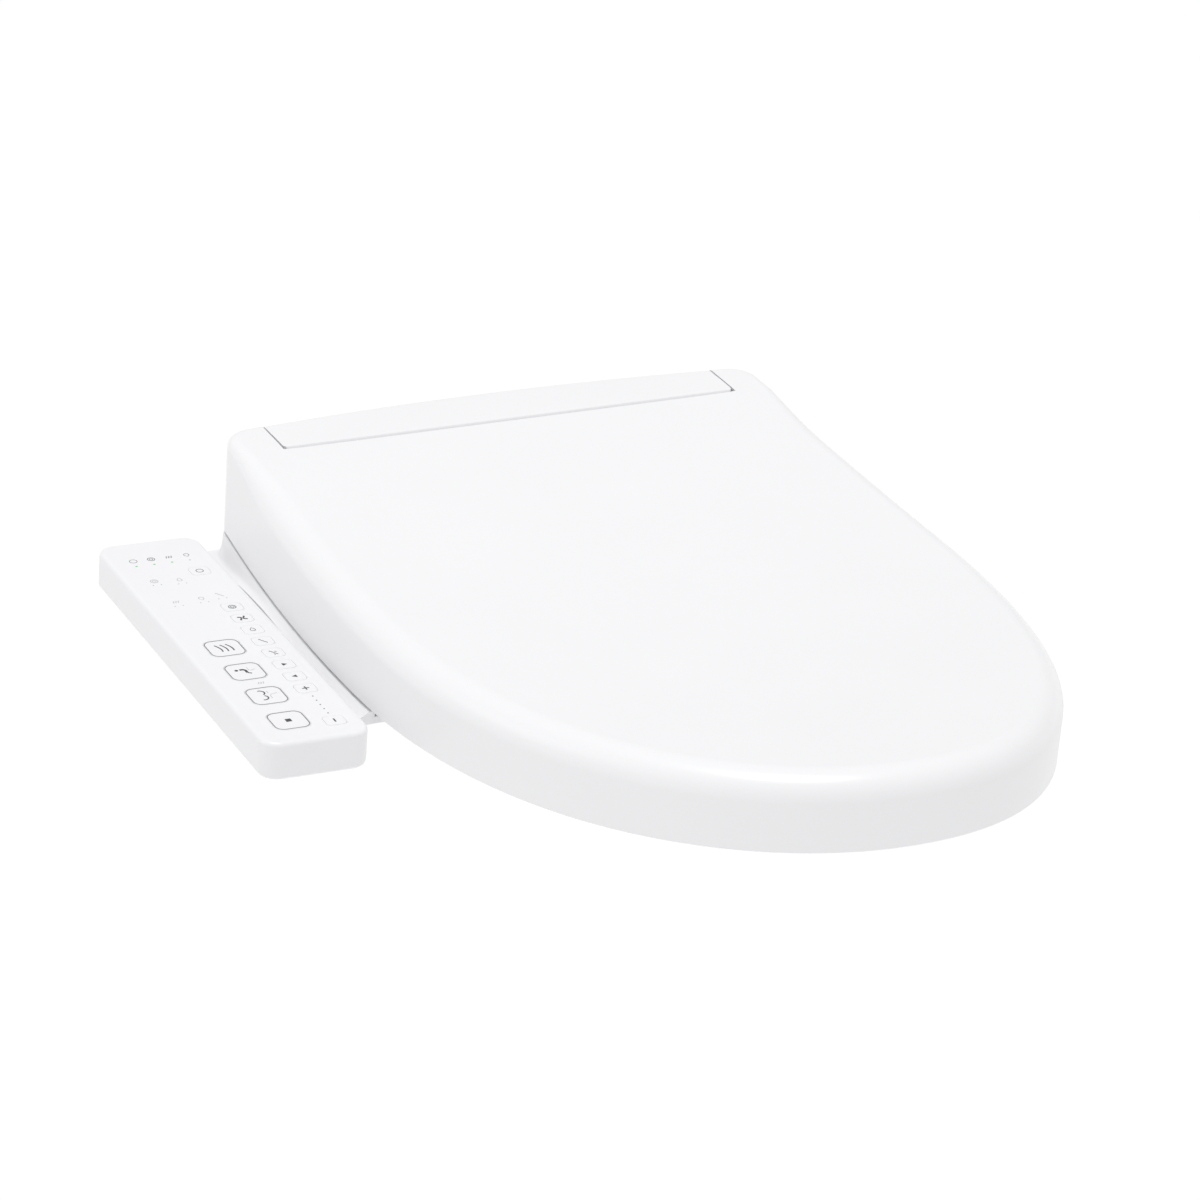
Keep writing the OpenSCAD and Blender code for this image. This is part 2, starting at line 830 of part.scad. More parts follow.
module panel_lamps() {
    color("limegreen")
        on_panel()
            for (i = [0 : 3])
                rod_z(lamp_at[0] + lamp_step * i, lamp_at[1], -1.4, panel_top - face_t, 1, 24);
}
module key(at, size) {
    color("white")
        on_panel()
            difference() {
                union() {
                    translate([0, 0, panel_top - 5])
                        linear_extrude(5 + key_top - 0.3)
                            key_shape(at, size, 0);
                    translate([0, 0, panel_top + key_top - 0.3 - tiny])
                        linear_extrude(0.3)
                            key_shape(at, size, -0.4);
                }
                translate([0, 0, panel_top - 6])
                    linear_extrude(4)
                        key_shape(at, size, -1.5);
            }
}
module key_dryer() { key(big_at(0), big_key); }
module key_front() { key(big_at(1), big_key); }
module key_rear() { key(big_at(2), big_key); }
module key_stop() { key(big_at(3), big_key); }
module key_f1() { key(side_at(0), side_key); }
module key_f2() { key(side_at(1), side_key); }
module key_f3() { key(side_at(2), side_key); }
module key_f4() { key(side_at(3), side_key); }
module key_f5() { key(side_at(4), side_key); }
module key_forward() { key(side_at(5), side_key); }
module key_back() { key(side_at(6), side_key); }
module key_plus() { key(side_at(7), side_key); }
module key_minus() { key(minus_at, side_key); }
module key_power() { key(power_at, side_key); }

/* ---------- seat ---------- */
seat_inset = 8;
seat_rear = -61;
seat_corner = 10;
seat_drop = 13.5;             // seat's top below the lid's top
seat_seam_drop = 28;          // where the two seat shells meet, below the lid's top
seat_lift = 2.5;              // seat's lower edge above the skirt's lower edge
opening_yc = -(opening_front + opening_rear) / 2;
opening_len = (opening_front - opening_rear) / 2;

// Both outlines have points in the same places around the ring, so they can be skinned
function seat_outer(inset) =
    let (i = inset + seat_inset,
         x = side_x(seat_rear) - i - seat_corner,
         y = seat_rear - inset - seat_corner)
    both_sides(concat(
        nose_pts(i),
        side_pts(i, wide_y, y, 5),
        [for (a = [30 : 30 : 90]) [x + seat_corner * cos(a), y + seat_corner * sin(a)]],
        [for (k = [1 : 6]) [x * (1 - k / 6), seat_rear - inset]]));
function opening_at(t, grow) = [
    (opening_half + grow) * pow(sin(t), 0.95), opening_yc - (opening_len + grow) * cos(t)];
function seat_inner(grow) = both_sides(concat(
    [for (a = [0 : 6 : 90]) opening_at(a, grow)],
    [for (k = [1 : 5]) opening_at(90 + 8.5 * k, grow)],
    [for (k = [1 : 3]) opening_at(132.5 + 4 * k, grow)],
    [for (k = [1 : 6]) opening_at(144.5 + 35.5 * k / 6, grow)]));
// A loop part of the way from the outer edge to the opening
function seat_between(f) =
    let (a = seat_outer(0), b = seat_inner(0))
    [for (i = [0 : len(a) - 1]) a[i] * (1 - f) + b[i] * f];
function drop(loop, d) = [for (p = loop) [p[0], p[1], top_z(p[1]) - seat_drop - d]];
function seat_floor(loop, lift) = [
    for (p = loop) [p[0], p[1], max(low_z(p[1]) + seat_lift, p[1] > -100 ? 23 : 0) + lift]];

module seat_top() {
    seam = seat_seam_drop - seat_drop;
    color("white")
        skin_loops([
            drop(seat_outer(0), seam), drop(seat_outer(0), 7), drop(seat_outer(3), 2),
            drop(seat_between(0.25), 0), drop(seat_between(0.6), 1.5),
            drop(seat_inner(5), 5), drop(seat_inner(0), 10), drop(seat_inner(0), seam),
            drop(seat_inner(3), seam), drop(seat_inner(3), 10), drop(seat_between(0.6), 4.5),
            drop(seat_between(0.25), 3), drop(seat_outer(5), 5.5), drop(seat_outer(3), seam)
        ], true);
}
module seat_base() {
    seam = seat_seam_drop - seat_drop;
    color("white")
        skin_loops([
            drop(seat_outer(0), seam), drop(seat_outer(3), seam),
            seat_floor(seat_outer(3), 3), seat_floor(seat_inner(3), 3),
            drop(seat_inner(3), seam), drop(seat_inner(0), seam),
            seat_floor(seat_inner(1), 0), seat_floor(seat_outer(1.5), 0)
        ], true);
}
module seat_heater() {
    color("sienna")
        skin_loops([
            drop(seat_between(0.25), 3.5), drop(seat_between(0.6), 5),
            drop(seat_between(0.6), 5.6), drop(seat_between(0.25), 4.1)
        ], true);
}
module seat_arms() {
    color("white")
        both_x()
            difference() {
                union() {
                    along_x(arm_x0, arm_x1)
                        polygon([[seat_rear, 34], [seat_rear, 44], [-20, 60], [20, 71],
                                 [hinge_y, hinge_z + boss_r - 0.2], [hinge_y, hinge_z - boss_r + 0.2],
                                 [10, 50], [-30, 38]]);
                    rod_x(arm_x0, arm_x1, hinge_y, hinge_z, boss_r);
                }
                rod_x(arm_x0 - 1, arm_x1 + 1, hinge_y, hinge_z, shaft_r + bore_gap);
            }
}
module seat_bumpers() {
    color("dimgray")
        both_x()
            for (at = [[40, -402], [146, -190]])
                block(at[0] - 11, at[0] + 11, at[1] - 5, at[1] + 5, 0, low_z(at[1]) + seat_lift + 1);
}

/* ---------- lid ---------- */
liner_gap = 0.4;
arm_slot_z = 77;              // top of the slots for the seat's arms

module seam_cut() {
    rod_x(-cover_half - seam_gap, cover_half + seam_gap, hinge_y, hinge_z, seam_r, 96);
    block(-cover_half - seam_gap, cover_half + seam_gap, 14, 80, 0, 120);
    // slots in the rear of the skirt, which pass the seat's arms as the lid opens
    both_x()
        block(cover_half, arm_x1 + 0.8, hinge_y + 3, 80, 0, arm_slot_z);
}
module lid_shell() {
    rim = 2;                  // small rounding at the skirt's lower edge
    r = lid_fillet;
    color("white")
        difference() {
            skin_loops(concat(
                [at_low(lid_outline(rim / 2), 0), at_low(lid_outline(0), rim)],
                [for (a = [0 : 18 : 90])
                    at_height(lid_outline(r * (1 - cos(a))), r * (1 - sin(a)))]
            ), false);
            skin_loops([
                at_low(lid_outline(lid_wall), -2),
                at_height(lid_outline(lid_wall), r),
                at_height(lid_outline(lid_wall + r * 0.3), lid_wall + r * 0.25),
                at_height(lid_outline(r), lid_wall)
            ], false);
            seam_cut();
        }
}
module lid_liner() {
    color("whitesmoke")
        difference() {
            intersection() {
                along_x(-lid_half, lid_half)
                    polygon(concat(
                        [for (y = [-470 : 20 : -10]) [y, top_z(y) - lid_wall - liner_gap]],
                        [for (y = [-10 : -20 : -470]) [y, top_z(y) - lid_wall - liner_gap - 1.6]]));
                linear_extrude(120)
                    polygon(lid_outline(16));
            }
            seam_cut();
        }
}
module lid_lugs() {
    top = top_z(hinge_y) - lid_wall + 0.6;
    color("white")
        both_x()
            difference() {
                union() {
                    rod_x(lug_x0, lug_x1, hinge_y, hinge_z, boss_r);
                    block(lug_x0, lug_x1, hinge_y - 9, hinge_y + 5, hinge_z, top);
                }
                rod_x(lug_x0 - 1, lug_x1 + 0.2, hinge_y, hinge_z, shaft_r + bore_gap);
            }
}
module lid_buffers() {
    under = lid_wall + liner_gap + 1.6;
    color("lightgray")
        both_x()
            for (at = [[60, -420], [140, -230]])
                translate([at[0], at[1], top_z(at[1]) - seat_drop + 0.8])
                    cylinder(h = seat_drop - under - 0.5, r = 6, $fn = 32);
}

base_plate();
clamp_slides();
lower_case();
upper_case();
top_cover();
case_pads();
screws();
hinge_shafts();
soft_close_dampers();
wand_guide();
wand_motor();
wand_pinion();
wand_tube();
wand_tip();
fan_housing();
fan_motor();
fan_impeller();
dryer_duct();
dryer_heater();
dryer_flap();
water_tank();
tank_heater();
inlet_valve();
water_inlet();
inner_pipes();
drain_plug();
main_board();
power_module();
cord_gland();
filter_drawer();
filter_block();
release_button();
panel_tray();
panel_face();
panel_overlay();
panel_board();
panel_lamps();
key_dryer();
key_front();
key_rear();
key_stop();
key_plus();
key_minus();
key_forward();
key_back();
key_f1();
key_f2();
key_f3();
key_f4();
key_f5();
key_power();
seat_top();
seat_base();
seat_arms();
seat_heater();
seat_bumpers();
lid_shell();
lid_liner();
lid_lugs();
lid_buffers();
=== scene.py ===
"""Looks of the electric bidet seat: smooth shells, a printed control panel and procedural plastics."""

import json
import math

import bmesh
import bpy
from mathutils import Matrix, Vector


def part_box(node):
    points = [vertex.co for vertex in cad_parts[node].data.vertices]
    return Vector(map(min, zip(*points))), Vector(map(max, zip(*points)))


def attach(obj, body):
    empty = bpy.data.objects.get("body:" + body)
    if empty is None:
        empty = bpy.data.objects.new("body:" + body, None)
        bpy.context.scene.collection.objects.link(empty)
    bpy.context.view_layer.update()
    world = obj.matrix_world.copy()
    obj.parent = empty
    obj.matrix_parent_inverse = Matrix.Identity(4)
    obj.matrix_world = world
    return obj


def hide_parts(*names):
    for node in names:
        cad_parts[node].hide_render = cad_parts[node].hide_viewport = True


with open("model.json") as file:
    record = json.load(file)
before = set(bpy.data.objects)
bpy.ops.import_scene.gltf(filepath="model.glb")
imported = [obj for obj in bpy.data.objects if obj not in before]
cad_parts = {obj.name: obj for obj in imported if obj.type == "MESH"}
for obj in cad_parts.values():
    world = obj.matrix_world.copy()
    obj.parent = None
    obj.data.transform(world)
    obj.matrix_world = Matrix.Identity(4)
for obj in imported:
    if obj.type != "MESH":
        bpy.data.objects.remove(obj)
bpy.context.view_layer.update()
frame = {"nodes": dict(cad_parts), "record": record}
record = frame["record"]

MM = 0.001


def node_box(name):
    """A node's lowest and highest corners, in millimetres."""
    low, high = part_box(name)
    return [v / MM for v in low], [v / MM for v in high]


# ---------------------------------------------------------------- sizes, in millimetres
lid_low, lid_high = node_box("lid_shell")
LID_HALF = lid_high[0]
LID_FRONT = -lid_low[1]
LID_WALL = 3.2
LID_FILLET = 16.0             # rounding of the lid's upper edge
REAR_ROUNDING = 6.0           # rounding of the same edge at the rear
BLEND_START = -50.0           # the one rounding turns into the other from here on
BLEND_LENGTH = 90.0
RIM = 1.2                     # rounding of the skirt's lower edge
LID_BEVEL = 1.0               # rounding of the edges around the notch
TOP_LINE = (75.0, 58.5, 84.0)     # height of the lid's top at the front, middle and rear
LOW_LINE = (30.0, 9.5, 21.0)      # height of the skirt's lower edge at the same places
CROWN = 1.6                   # how much the lid's top rises towards its middle
CROWN_Y = -200.0              # the crown's middle
WIDE_Y = -179.0               # where the lid is widest
NOSE_POWER = 2.08             # the front is a superellipse of this power
REAR_TAPER = 10.0             # how far each side has drawn in at the rear corner
CORNER_R = 18.0
CORNER_Y = 27.0
REAR_Y = CORNER_Y + CORNER_R
CORNER_X = LID_HALF - REAR_TAPER - CORNER_R
REAR_BULGE = 9.0              # how far the middle of the rear edge stands behind its ends
SEAM_Y = 10.0                 # behind this line the top rises evenly
REAR_SLOPE = 0.06
SPAN = LID_FRONT + 37.0       # length of the curves through the three heights
HINGE_Y = 32.0
HINGE_Z = 64.0
SEAM_R = 27.0                 # the lid's edge along the cover is round about the hinge line
SEAM_GAP = 1.2
NOTCH_FRONT = 14.0            # the notch is open behind this line
PAST_LID = (90.0, 130.0)      # a Y and a Z outside the lid, for the cuts
COVER_HALF = node_box("top_cover")[1][0]
COVER_CORNER = (6.0, 14.0)    # width and depth of the cut at the cover's front corners
COVER_BEVEL = 0.3
COVER_FRONT = (162, 142)      # the cover's front face, in degrees about the hinge line
COVER_LIP = 8.0               # the top's front edge is this far behind a cut-back corner
COVER_TOP_Y = 24.0            # the top's front edge between the corners
COVER_TOP_DROP = 0.5
COVER_SKIRT_Y = 43.8          # inner side of the cover's rear skirt
COVER_SKIRT_Z = 72.0
ARM_SLOT_X = node_box("seat_arms")[1][0] + 0.8     # outer side of the slots that pass the seat's arms
ARM_SLOT_Y = HINGE_Y + 3
ARM_SLOT_Z = 77.0


# ---------------------------------------------------------------- outline functions
def wave(y, line):
    """A smooth curve through a front, a middle and a rear height."""
    f = (y + LID_FRONT) / SPAN
    front, mid, rear = line
    return front * (1 - f) * (1 - 2 * f) + 4 * mid * f * (1 - f) + rear * f * (2 * f - 1)


def top_z(y):
    """Height of the lid's top."""
    if y < SEAM_Y:
        return wave(y, TOP_LINE)
    return wave(SEAM_Y, TOP_LINE) + REAR_SLOPE * (y - SEAM_Y)


def low_z(y):
    """Height of the skirt's lower edge."""
    return wave(y, LOW_LINE)


def side_x(y):
    """Half width of the lid between its widest place and the rear corner."""
    return LID_HALF - REAR_TAPER * ((y - WIDE_Y) / (CORNER_Y - WIDE_Y)) ** 2


def nose(inset, count):
    """Right half of the front, from the tip to the widest place."""
    points = []
    for i in range(count + 1):
        a = math.radians(90 * i / count)
        points.append((
            (LID_HALF - inset) * math.sin(a) ** (2 / NOSE_POWER),
            WIDE_Y - (LID_FRONT + WIDE_Y - inset) * max(math.cos(a), 0) ** (2 / NOSE_POWER)))
    return points


def sides(inset, y_from, y_to, count):
    """Right side, from one Y to another; the first point is left out."""
    points = []
    for i in range(1, count + 1):
        y = y_from + (y_to - y_from) * i / count
        points.append((side_x(y) - inset, y))
    return points


def both_sides(half):
    """A closed outline from its right half, whose ends lie on the centre line."""
    return half + [(-x, y) for x, y in reversed(half[1:-1])]


def rear_edge(x):
    """Y of the lid's bulging rear edge."""
    return REAR_Y + REAR_BULGE * (1 - (x / CORNER_X) ** 2)


def curve(x, y, radius, a0, a1, steps):
    """Points along a round stretch, from one angle to another in degrees."""
    return [(x + radius * math.cos(math.radians(a0 + (a1 - a0) * i / steps)),
             y + radius * math.sin(math.radians(a0 + (a1 - a0) * i / steps)))
            for i in range(steps + 1)]


def circle(x, y, radius, steps):
    return curve(x, y, radius, 0, 360, steps)[:-1]


def lid_outline(inset):
    corner = curve(CORNER_X, CORNER_Y, CORNER_R - inset, 0, 90, 12)[1:]
    rear = [(x, rear_edge(x) - inset) for x in [CORNER_X * (1 - i / 12) for i in range(1, 13)]]
    return both_sides(nose(inset, 48) + sides(inset, WIDE_Y, CORNER_Y, 24) + corner + rear)


def round_rect(w, l, r, steps):
    """A rectangle with rounded corners about the origin."""
    points = []
    for quarter, (sx, sy) in enumerate(((1, 1), (-1, 1), (-1, -1), (1, -1))):
        for i in range(steps + 1):
            a = math.radians(90 * (quarter + i / steps))
            points.append((sx * (w / 2 - r) + r * math.cos(a), sy * (l / 2 - r) + r * math.sin(a)))
    return points


# ---------------------------------------------------------------- mesh building
def new_object(name, vertices, faces, smooth=True):
    """A mesh object from points in millimetres."""
    mesh = bpy.data.meshes.new(name)
    mesh.from_pydata([Vector(v) * MM for v in vertices], [], faces)
    bm = bmesh.new()
    bm.from_mesh(mesh)
    bmesh.ops.remove_doubles(bm, verts=bm.verts, dist=1e-7)
    bmesh.ops.recalc_face_normals(bm, faces=bm.faces)
    bm.to_mesh(mesh)
    bm.free()
    obj = bpy.data.objects.new(name, mesh)
    bpy.context.scene.collection.objects.link(obj)
    for polygon in mesh.polygons:
        polygon.use_smooth = smooth
    return obj


def loft(name, loops, ring=False):
    """Skins loops of equal length; without a ring the end loops are closed with strips across."""
    n = len(loops[0])
    half = n // 2
    vertices = [p for loop in loops for p in loop]
    faces = []
    pairs = len(loops) if ring else len(loops) - 1
    for k in range(pairs):
        here, there = k * n, ((k + 1) % len(loops)) * n
        for i in range(n):
            j = (i + 1) % n
            faces.append((here + i, here + j, there + j, there + i))
    if not ring:
        for base in (0, (len(loops) - 1) * n):
            faces.append((base, base + 1, base + n - 1))
            faces.append((base + half - 1, base + half, base + half + 1))
            for i in range(1, half - 1):
                faces.append((base + i, base + i + 1, base + n - i - 1, base + n - i))
    return new_object(name, vertices, faces)


def apply_modifiers(obj):
    """Leaves the object with its evaluated mesh and no modifiers."""
    depsgraph = bpy.context.evaluated_depsgraph_get()
    mesh = bpy.data.meshes.new_from_object(obj.evaluated_get(depsgraph))
    obj.modifiers.clear()
    old = obj.data
    obj.data = mesh
    bpy.data.meshes.remove(old)


def cut(obj, cutters):
    """Takes the cutters away from the object, and removes them."""
    for cutter in cutters:
        modifier = obj.modifiers.new("cut", "BOOLEAN")
        modifier.operation = "DIFFERENCE"
        modifier.solver = "EXACT"
        modifier.object = cutter
    bpy.context.view_layer.update()
    apply_modifiers(obj)
    for cutter in cutters:
        bpy.data.objects.remove(cutter)


def bevel(obj, width, segments, angle):
    modifier = obj.modifiers.new("bevel", "BEVEL")
    modifier.width = width * MM
    modifier.segments = segments
    modifier.limit_method = "ANGLE"
    modifier.angle_limit = math.radians(angle)
    modifier.use_clamp_overlap = True
    modifier.harden_normals = False
    bpy.context.view_layer.update()
    apply_modifiers(obj)


def shade(obj, angle=35):
    """Smooth shading that keeps edges sharper than the angle crisp."""
    for polygon in obj.data.polygons:
        polygon.use_smooth = True
    bm = bmesh.new()
    bm.from_mesh(obj.data)
    for edge in bm.edges:
        if len(edge.link_faces) == 2:
            edge.smooth = edge.calc_face_angle(0) < math.radians(angle)
    bm.to_mesh(obj.data)
    bm.free()
    modifier = obj.modifiers.new("normals", "WEIGHTED_NORMAL")
    modifier.keep_sharp = True
    bpy.context.view_layer.update()
    apply_modifiers(obj)


def prism(name, start, end):
    """A solid between two flat outlines of the same form."""
    n = len(start)
    faces = [tuple(range(n)), tuple(reversed(range(n, 2 * n)))]
    faces += [(i, (i + 1) % n, n + (i + 1) % n, n + i) for i in range(n)]
    return new_object(name, start + end, faces, smooth=False)


def prism_x(name, profile, x0, x1):
    """A profile of (y, z) points drawn out along X."""
    return prism(name, [(x0, y, z) for y, z in profile], [(x1, y, z) for y, z in profile])


def prism_z(name, outline, z0, z1):
    """An outline of (x, y) points drawn out along Z."""
    return prism(name, [(x, y, z0) for x, y in outline], [(x, y, z1) for x, y in outline])


def solid_from_loops(name, loops):
    """A closed solid whose end loops are flat."""
    n = len(loops[0])
    vertices = [p for loop in loops for p in loop]
    faces = [tuple(range(n)), tuple(range((len(loops) - 1) * n, len(loops) * n))]
    for k in range(len(loops) - 1):
        for i in range(n):
            j = (i + 1) % n
            faces.append((k * n + i, k * n + j, (k + 1) * n + j, (k + 1) * n + i))
    return new_object(name, vertices, faces)


def finish_piece(obj, body, material, replaced=()):
    """Gives a piece its material, its body and the nodes that it takes the place of."""
    obj.data.materials.clear()
    obj.data.materials.append(material)
    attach(obj, body)
    if replaced:
        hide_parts(*replaced)
    return obj


# ---------------------------------------------------------------- materials
BUMP_DEPTH = 0.02             # in millimetres, like the sizes of the grain
FINEST_GRAIN = 0.05           # strength of the grain that every plastic has
METAL_DARK = 0.82             # tone of the darkest streaks, as a share of the metal's colour


def new_material(name):
    """A material with its nodes, its links and its shader."""
    material = bpy.data.materials.new(name)
    material.use_nodes = True
    nodes, links = material.node_tree.nodes, material.node_tree.links
    return material, nodes, links, nodes["Principled BSDF"]


def add_noise(nodes, links, place, scale, detail):
    """Noise over the given coordinates; returns its output."""
    noise = nodes.new("ShaderNodeTexNoise")
    noise.inputs["Scale"].default_value = scale
    noise.inputs["Detail"].default_value = detail
    links.new(place, noise.inputs["Vector"])
    return noise.outputs["Fac"]


def add_tint(nodes, links, noise, shader, dark, light, positions):
    """Lets the base colour run between two colours with the noise."""
    tint = nodes.new("ShaderNodeValToRGB")
    for element, colour, position in zip(tint.color_ramp.elements, (dark, light), positions):
        element.position = position
        element.color = list(colour) + [1]
    links.new(noise, tint.inputs["Fac"])
    links.new(tint.outputs["Color"], shader.inputs["Base Color"])


def add_roughness(nodes, links, noise, shader, roughness, share):
    """Lets the roughness vary with the noise by a share of itself."""
    spread = nodes.new("ShaderNodeMapRange")
    spread.inputs["To Min"].default_value = roughness * (1 - share)
    spread.inputs["To Max"].default_value = roughness * (1 + share)
    links.new(noise, spread.inputs["Value"])
    links.new(spread.outputs["Result"], shader.inputs["Roughness"])


def add_bump(nodes, links, noise, shader, strength):
    bump = nodes.new("ShaderNodeBump")
    bump.inputs["Strength"].default_value = strength
    bump.inputs["Distance"].default_value = BUMP_DEPTH * MM
    links.new(noise, bump.inputs["Height"])
    links.new(bump.outputs["Normal"], shader.inputs["Normal"])


def plastic(name, colour, roughness, coat=0.0, grain=0.0, grain_size=0.6, mottle=0.02):
    """Moulded plastic: slight colour and gloss variation, and an optional fine moulded grain."""
    material, nodes, links, shader = new_material(name)
    shader.inputs["IOR"].default_value = 1.49
    shader.inputs["Coat Weight"].default_value = coat
    shader.inputs["Coat Roughness"].default_value = 0.22
    place = nodes.new("ShaderNodeTexCoord").outputs["Object"]
    cloud = add_noise(nodes, links, place, scale=14.0, detail=3.0)
    fine = add_noise(nodes, links, place, scale=1 / (grain_size * MM), detail=4.0)
    dark = [c * (1 - mottle) for c in colour]
    add_tint(nodes, links, cloud, shader, dark, colour, positions=(0.3, 0.7))
    add_roughness(nodes, links, cloud, shader, roughness, share=0.15)
    add_bump(nodes, links, fine, shader, strength=FINEST_GRAIN + grain)
    return material


def metal(name, colour, roughness):
    """Brushed metal with fine streaks along X."""
    material, nodes, links, shader = new_material(name)
    shader.inputs["Metallic"].default_value = 1.0
    place = nodes.new("ShaderNodeTexCoord").outputs["Object"]
    stretch = nodes.new("ShaderNodeMapping")
    stretch.inputs["Scale"].default_value = (60, 720, 720)
    links.new(place, stretch.inputs["Vector"])
    streak = add_noise(nodes, links, stretch.outputs["Vector"], scale=6.0, detail=5.0)
    dark = [c * METAL_DARK for c in colour]
    add_tint(nodes, links, streak, shader, dark, colour, positions=(0.0, 1.0))
    add_roughness(nodes, links, streak, shader, roughness, share=0.3)
    add_bump(nodes, links, streak, shader, strength=0.15)
    return material


def board(name):
    """Circuit board: green solder mask with a fine lattice of lighter tracks."""
    material = plastic(name, (0.03, 0.20, 0.09), 0.35, grain=0.1)
    nodes, links = material.node_tree.nodes, material.node_tree.links
    tracks = nodes.new("ShaderNodeTexBrick")
    tracks.inputs["Scale"].default_value = 90.0
    tracks.inputs["Mortar Size"].default_value = 0.03
    tracks.inputs["Color1"].default_value = (0.03, 0.20, 0.09, 1)
    tracks.inputs["Color2"].default_value = (0.02, 0.15, 0.07, 1)
    tracks.inputs["Mortar"].default_value = (0.16, 0.42, 0.20, 1)
    links.new(nodes["Texture Coordinate"].outputs["Object"], tracks.inputs["Vector"])
    links.new(tracks.outputs["Color"], nodes["Principled BSDF"].inputs["Base Color"])
    return material


white = plastic("white_gloss", (0.86, 0.86, 0.875), 0.30, coat=0.15, mottle=0.01)
lid_white = plastic("lid_gloss", (0.875, 0.875, 0.888), 0.30, coat=0.2, mottle=0.008)
satin_white = plastic("satin_white", (0.85, 0.85, 0.865), 0.38, grain=0.08, mottle=0.01)
print_ink = plastic("print_ink", (0.045, 0.045, 0.05), 0.45)
grey_ink = plastic("grey_ink", (0.16, 0.16, 0.17), 0.45)
pale_ink = plastic("pale_ink", (0.50, 0.50, 0.52), 0.45)
MATERIALS = {
    "white_gloss": white,
    "lid_gloss": lid_white,
    "grey_plastic": plastic("grey_plastic", (0.50, 0.51, 0.53), 0.40, grain=0.15),
    "dark_plastic": plastic("dark_plastic", (0.035, 0.035, 0.04), 0.45, grain=0.2),
    "ivory_plastic": plastic("ivory_plastic", (0.72, 0.69, 0.60), 0.42, grain=0.1),
    "rubber": plastic("rubber", (0.42, 0.42, 0.43), 0.75, grain=0.3, grain_size=0.9, mottle=0.08),
    "steel": metal("steel", (0.62, 0.63, 0.65), 0.28),
    "brass": metal("brass", (0.76, 0.56, 0.25), 0.30),
    "board_green": board("board_green"),
    "carbon": plastic("carbon", (0.02, 0.02, 0.02), 0.9, grain=0.9, grain_size=1.4, mottle=0.5),
    "overlay_film": satin_white,
    "lamp_green": plastic("lamp_green", (0.20, 0.62, 0.22), 0.30),
    "key_film": satin_white,
    "heater_foil": metal("heater_foil", (0.72, 0.50, 0.34), 0.25),
}

slot_of = {part["node"]: part["material_slot"] for part in record["subparts"]}
for node_name, obj in frame["nodes"].items():
    obj.data.materials.clear()
    obj.data.materials.append(MATERIALS[slot_of[node_name]])


# ---------------------------------------------------------------- lid
def on_top(outline, drop, crown=0.0):
    """Lifts an outline to the lid's top line; the crown swells it towards the middle."""
    points = []
    for x, y in outline:
        half = max(side_x(y) if y > WIDE_Y else LID_HALF, 1)
        points.append((x, y, top_z(y) - drop + crown * max(0, 1 - (x / half) ** 2)))
    return points


def on_low(outline, lift):
    """Lifts an outline to the skirt's lower edge."""
    return [(x, y, low_z(y) + lift) for x, y in outline]


def shrunk(outline, share):
    """The outline drawn in towards the lid's middle, for the crowned top."""
    return [(x * share, CROWN_Y + (y - CROWN_Y) * share) for x, y in outline]


def smooth_step(share):
    """Runs from 0 to 1 with soft ends, and stays there outside them."""
    share = min(max(share, 0), 1)
    return share * share * (3 - 2 * share)


def top_rounding(y):
    """The lid's upper edge is rounded less at the rear."""
    return LID_FILLET + (REAR_ROUNDING - LID_FILLET) * smooth_step((y - BLEND_START) / BLEND_LENGTH)


def lid_outside():
    """Loops from the skirt's lower edge up its side, over the rounding and in to the middle."""
    loops = [on_low(lid_outline(RIM), 0)]
    for i in range(1, 5):
        a = math.radians(90 * i / 4)
        loops.append(on_low(lid_outline(RIM * (1 - math.sin(a))), RIM * (1 - math.cos(a))))
    skirt = lid_outline(0)
    for share in (0.25, 0.5, 0.75):
        loops.append([(x, y, low_z(y) + RIM + share * (top_z(y) - top_rounding(y) - low_z(y) - RIM))
                      for x, y in skirt])
    steps = 10
    rounding = [top_rounding(y) for x, y in skirt]
    for i in range(steps + 1):
        a = math.radians(90 * i / steps)
        ring = [lid_outline(r * (1 - math.cos(a)))[k] for k, r in enumerate(rounding)]
        loops.append([(x, y, top_z(y) - r * (1 - math.sin(a))) for (x, y), r in zip(ring, rounding)])
    for share in (0.9, 0.75, 0.6, 0.45, 0.3, 0.15, 0.02):
        loops.append(on_top(shrunk(ring, share), 0, CROWN * (1 - share ** 2)))
    return loops


def lid_inside():
    """Loops of the hollow, from just under the skirt up to the underside of the top."""
    loops = [on_low(lid_outline(LID_WALL), -2), on_top(lid_outline(LID_WALL), LID_FILLET)]
    radius = LID_FILLET - LID_WALL
    for i in range(1, 5):
        a = math.radians(90 * i / 4)
        loops.append(on_top(lid_outline(LID_WALL + radius * (1 - math.cos(a))),
                            LID_WALL + radius * (1 - math.sin(a))))
    return loops


def notch_cuts():
    """The notch that holds the fixed cover, and the slots that pass the seat's arms."""
    far_y, far_z = PAST_LID
    half = COVER_HALF + SEAM_GAP
    notch = [(NOTCH_FRONT, 0), (far_y, 0), (far_y, far_z), (NOTCH_FRONT, far_z)]
    slot = [(ARM_SLOT_Y, 0), (far_y, 0), (far_y, ARM_SLOT_Z), (ARM_SLOT_Y, ARM_SLOT_Z)]
    cuts = [prism_x("seam_cut", circle(HINGE_Y, HINGE_Z, SEAM_R, 128), -half, half),
            prism_x("rear_cut", notch, -half, half)]
    for side in (-1, 1):
        x0, x1 = sorted((side * COVER_HALF, side * ARM_SLOT_X))
        cuts.append(prism_x("arm_slot", slot, x0, x1))
    return cuts


def lid_shell():
    shell = loft("lid_cover", lid_outside())
    hollow = loft("lid_hollow", lid_inside())
    cut(shell, [hollow] + notch_cuts())
    bevel(shell, LID_BEVEL, segments=3, angle=50)
    shade(shell)
    return finish_piece(shell, "lid", lid_white, ["lid_shell"])


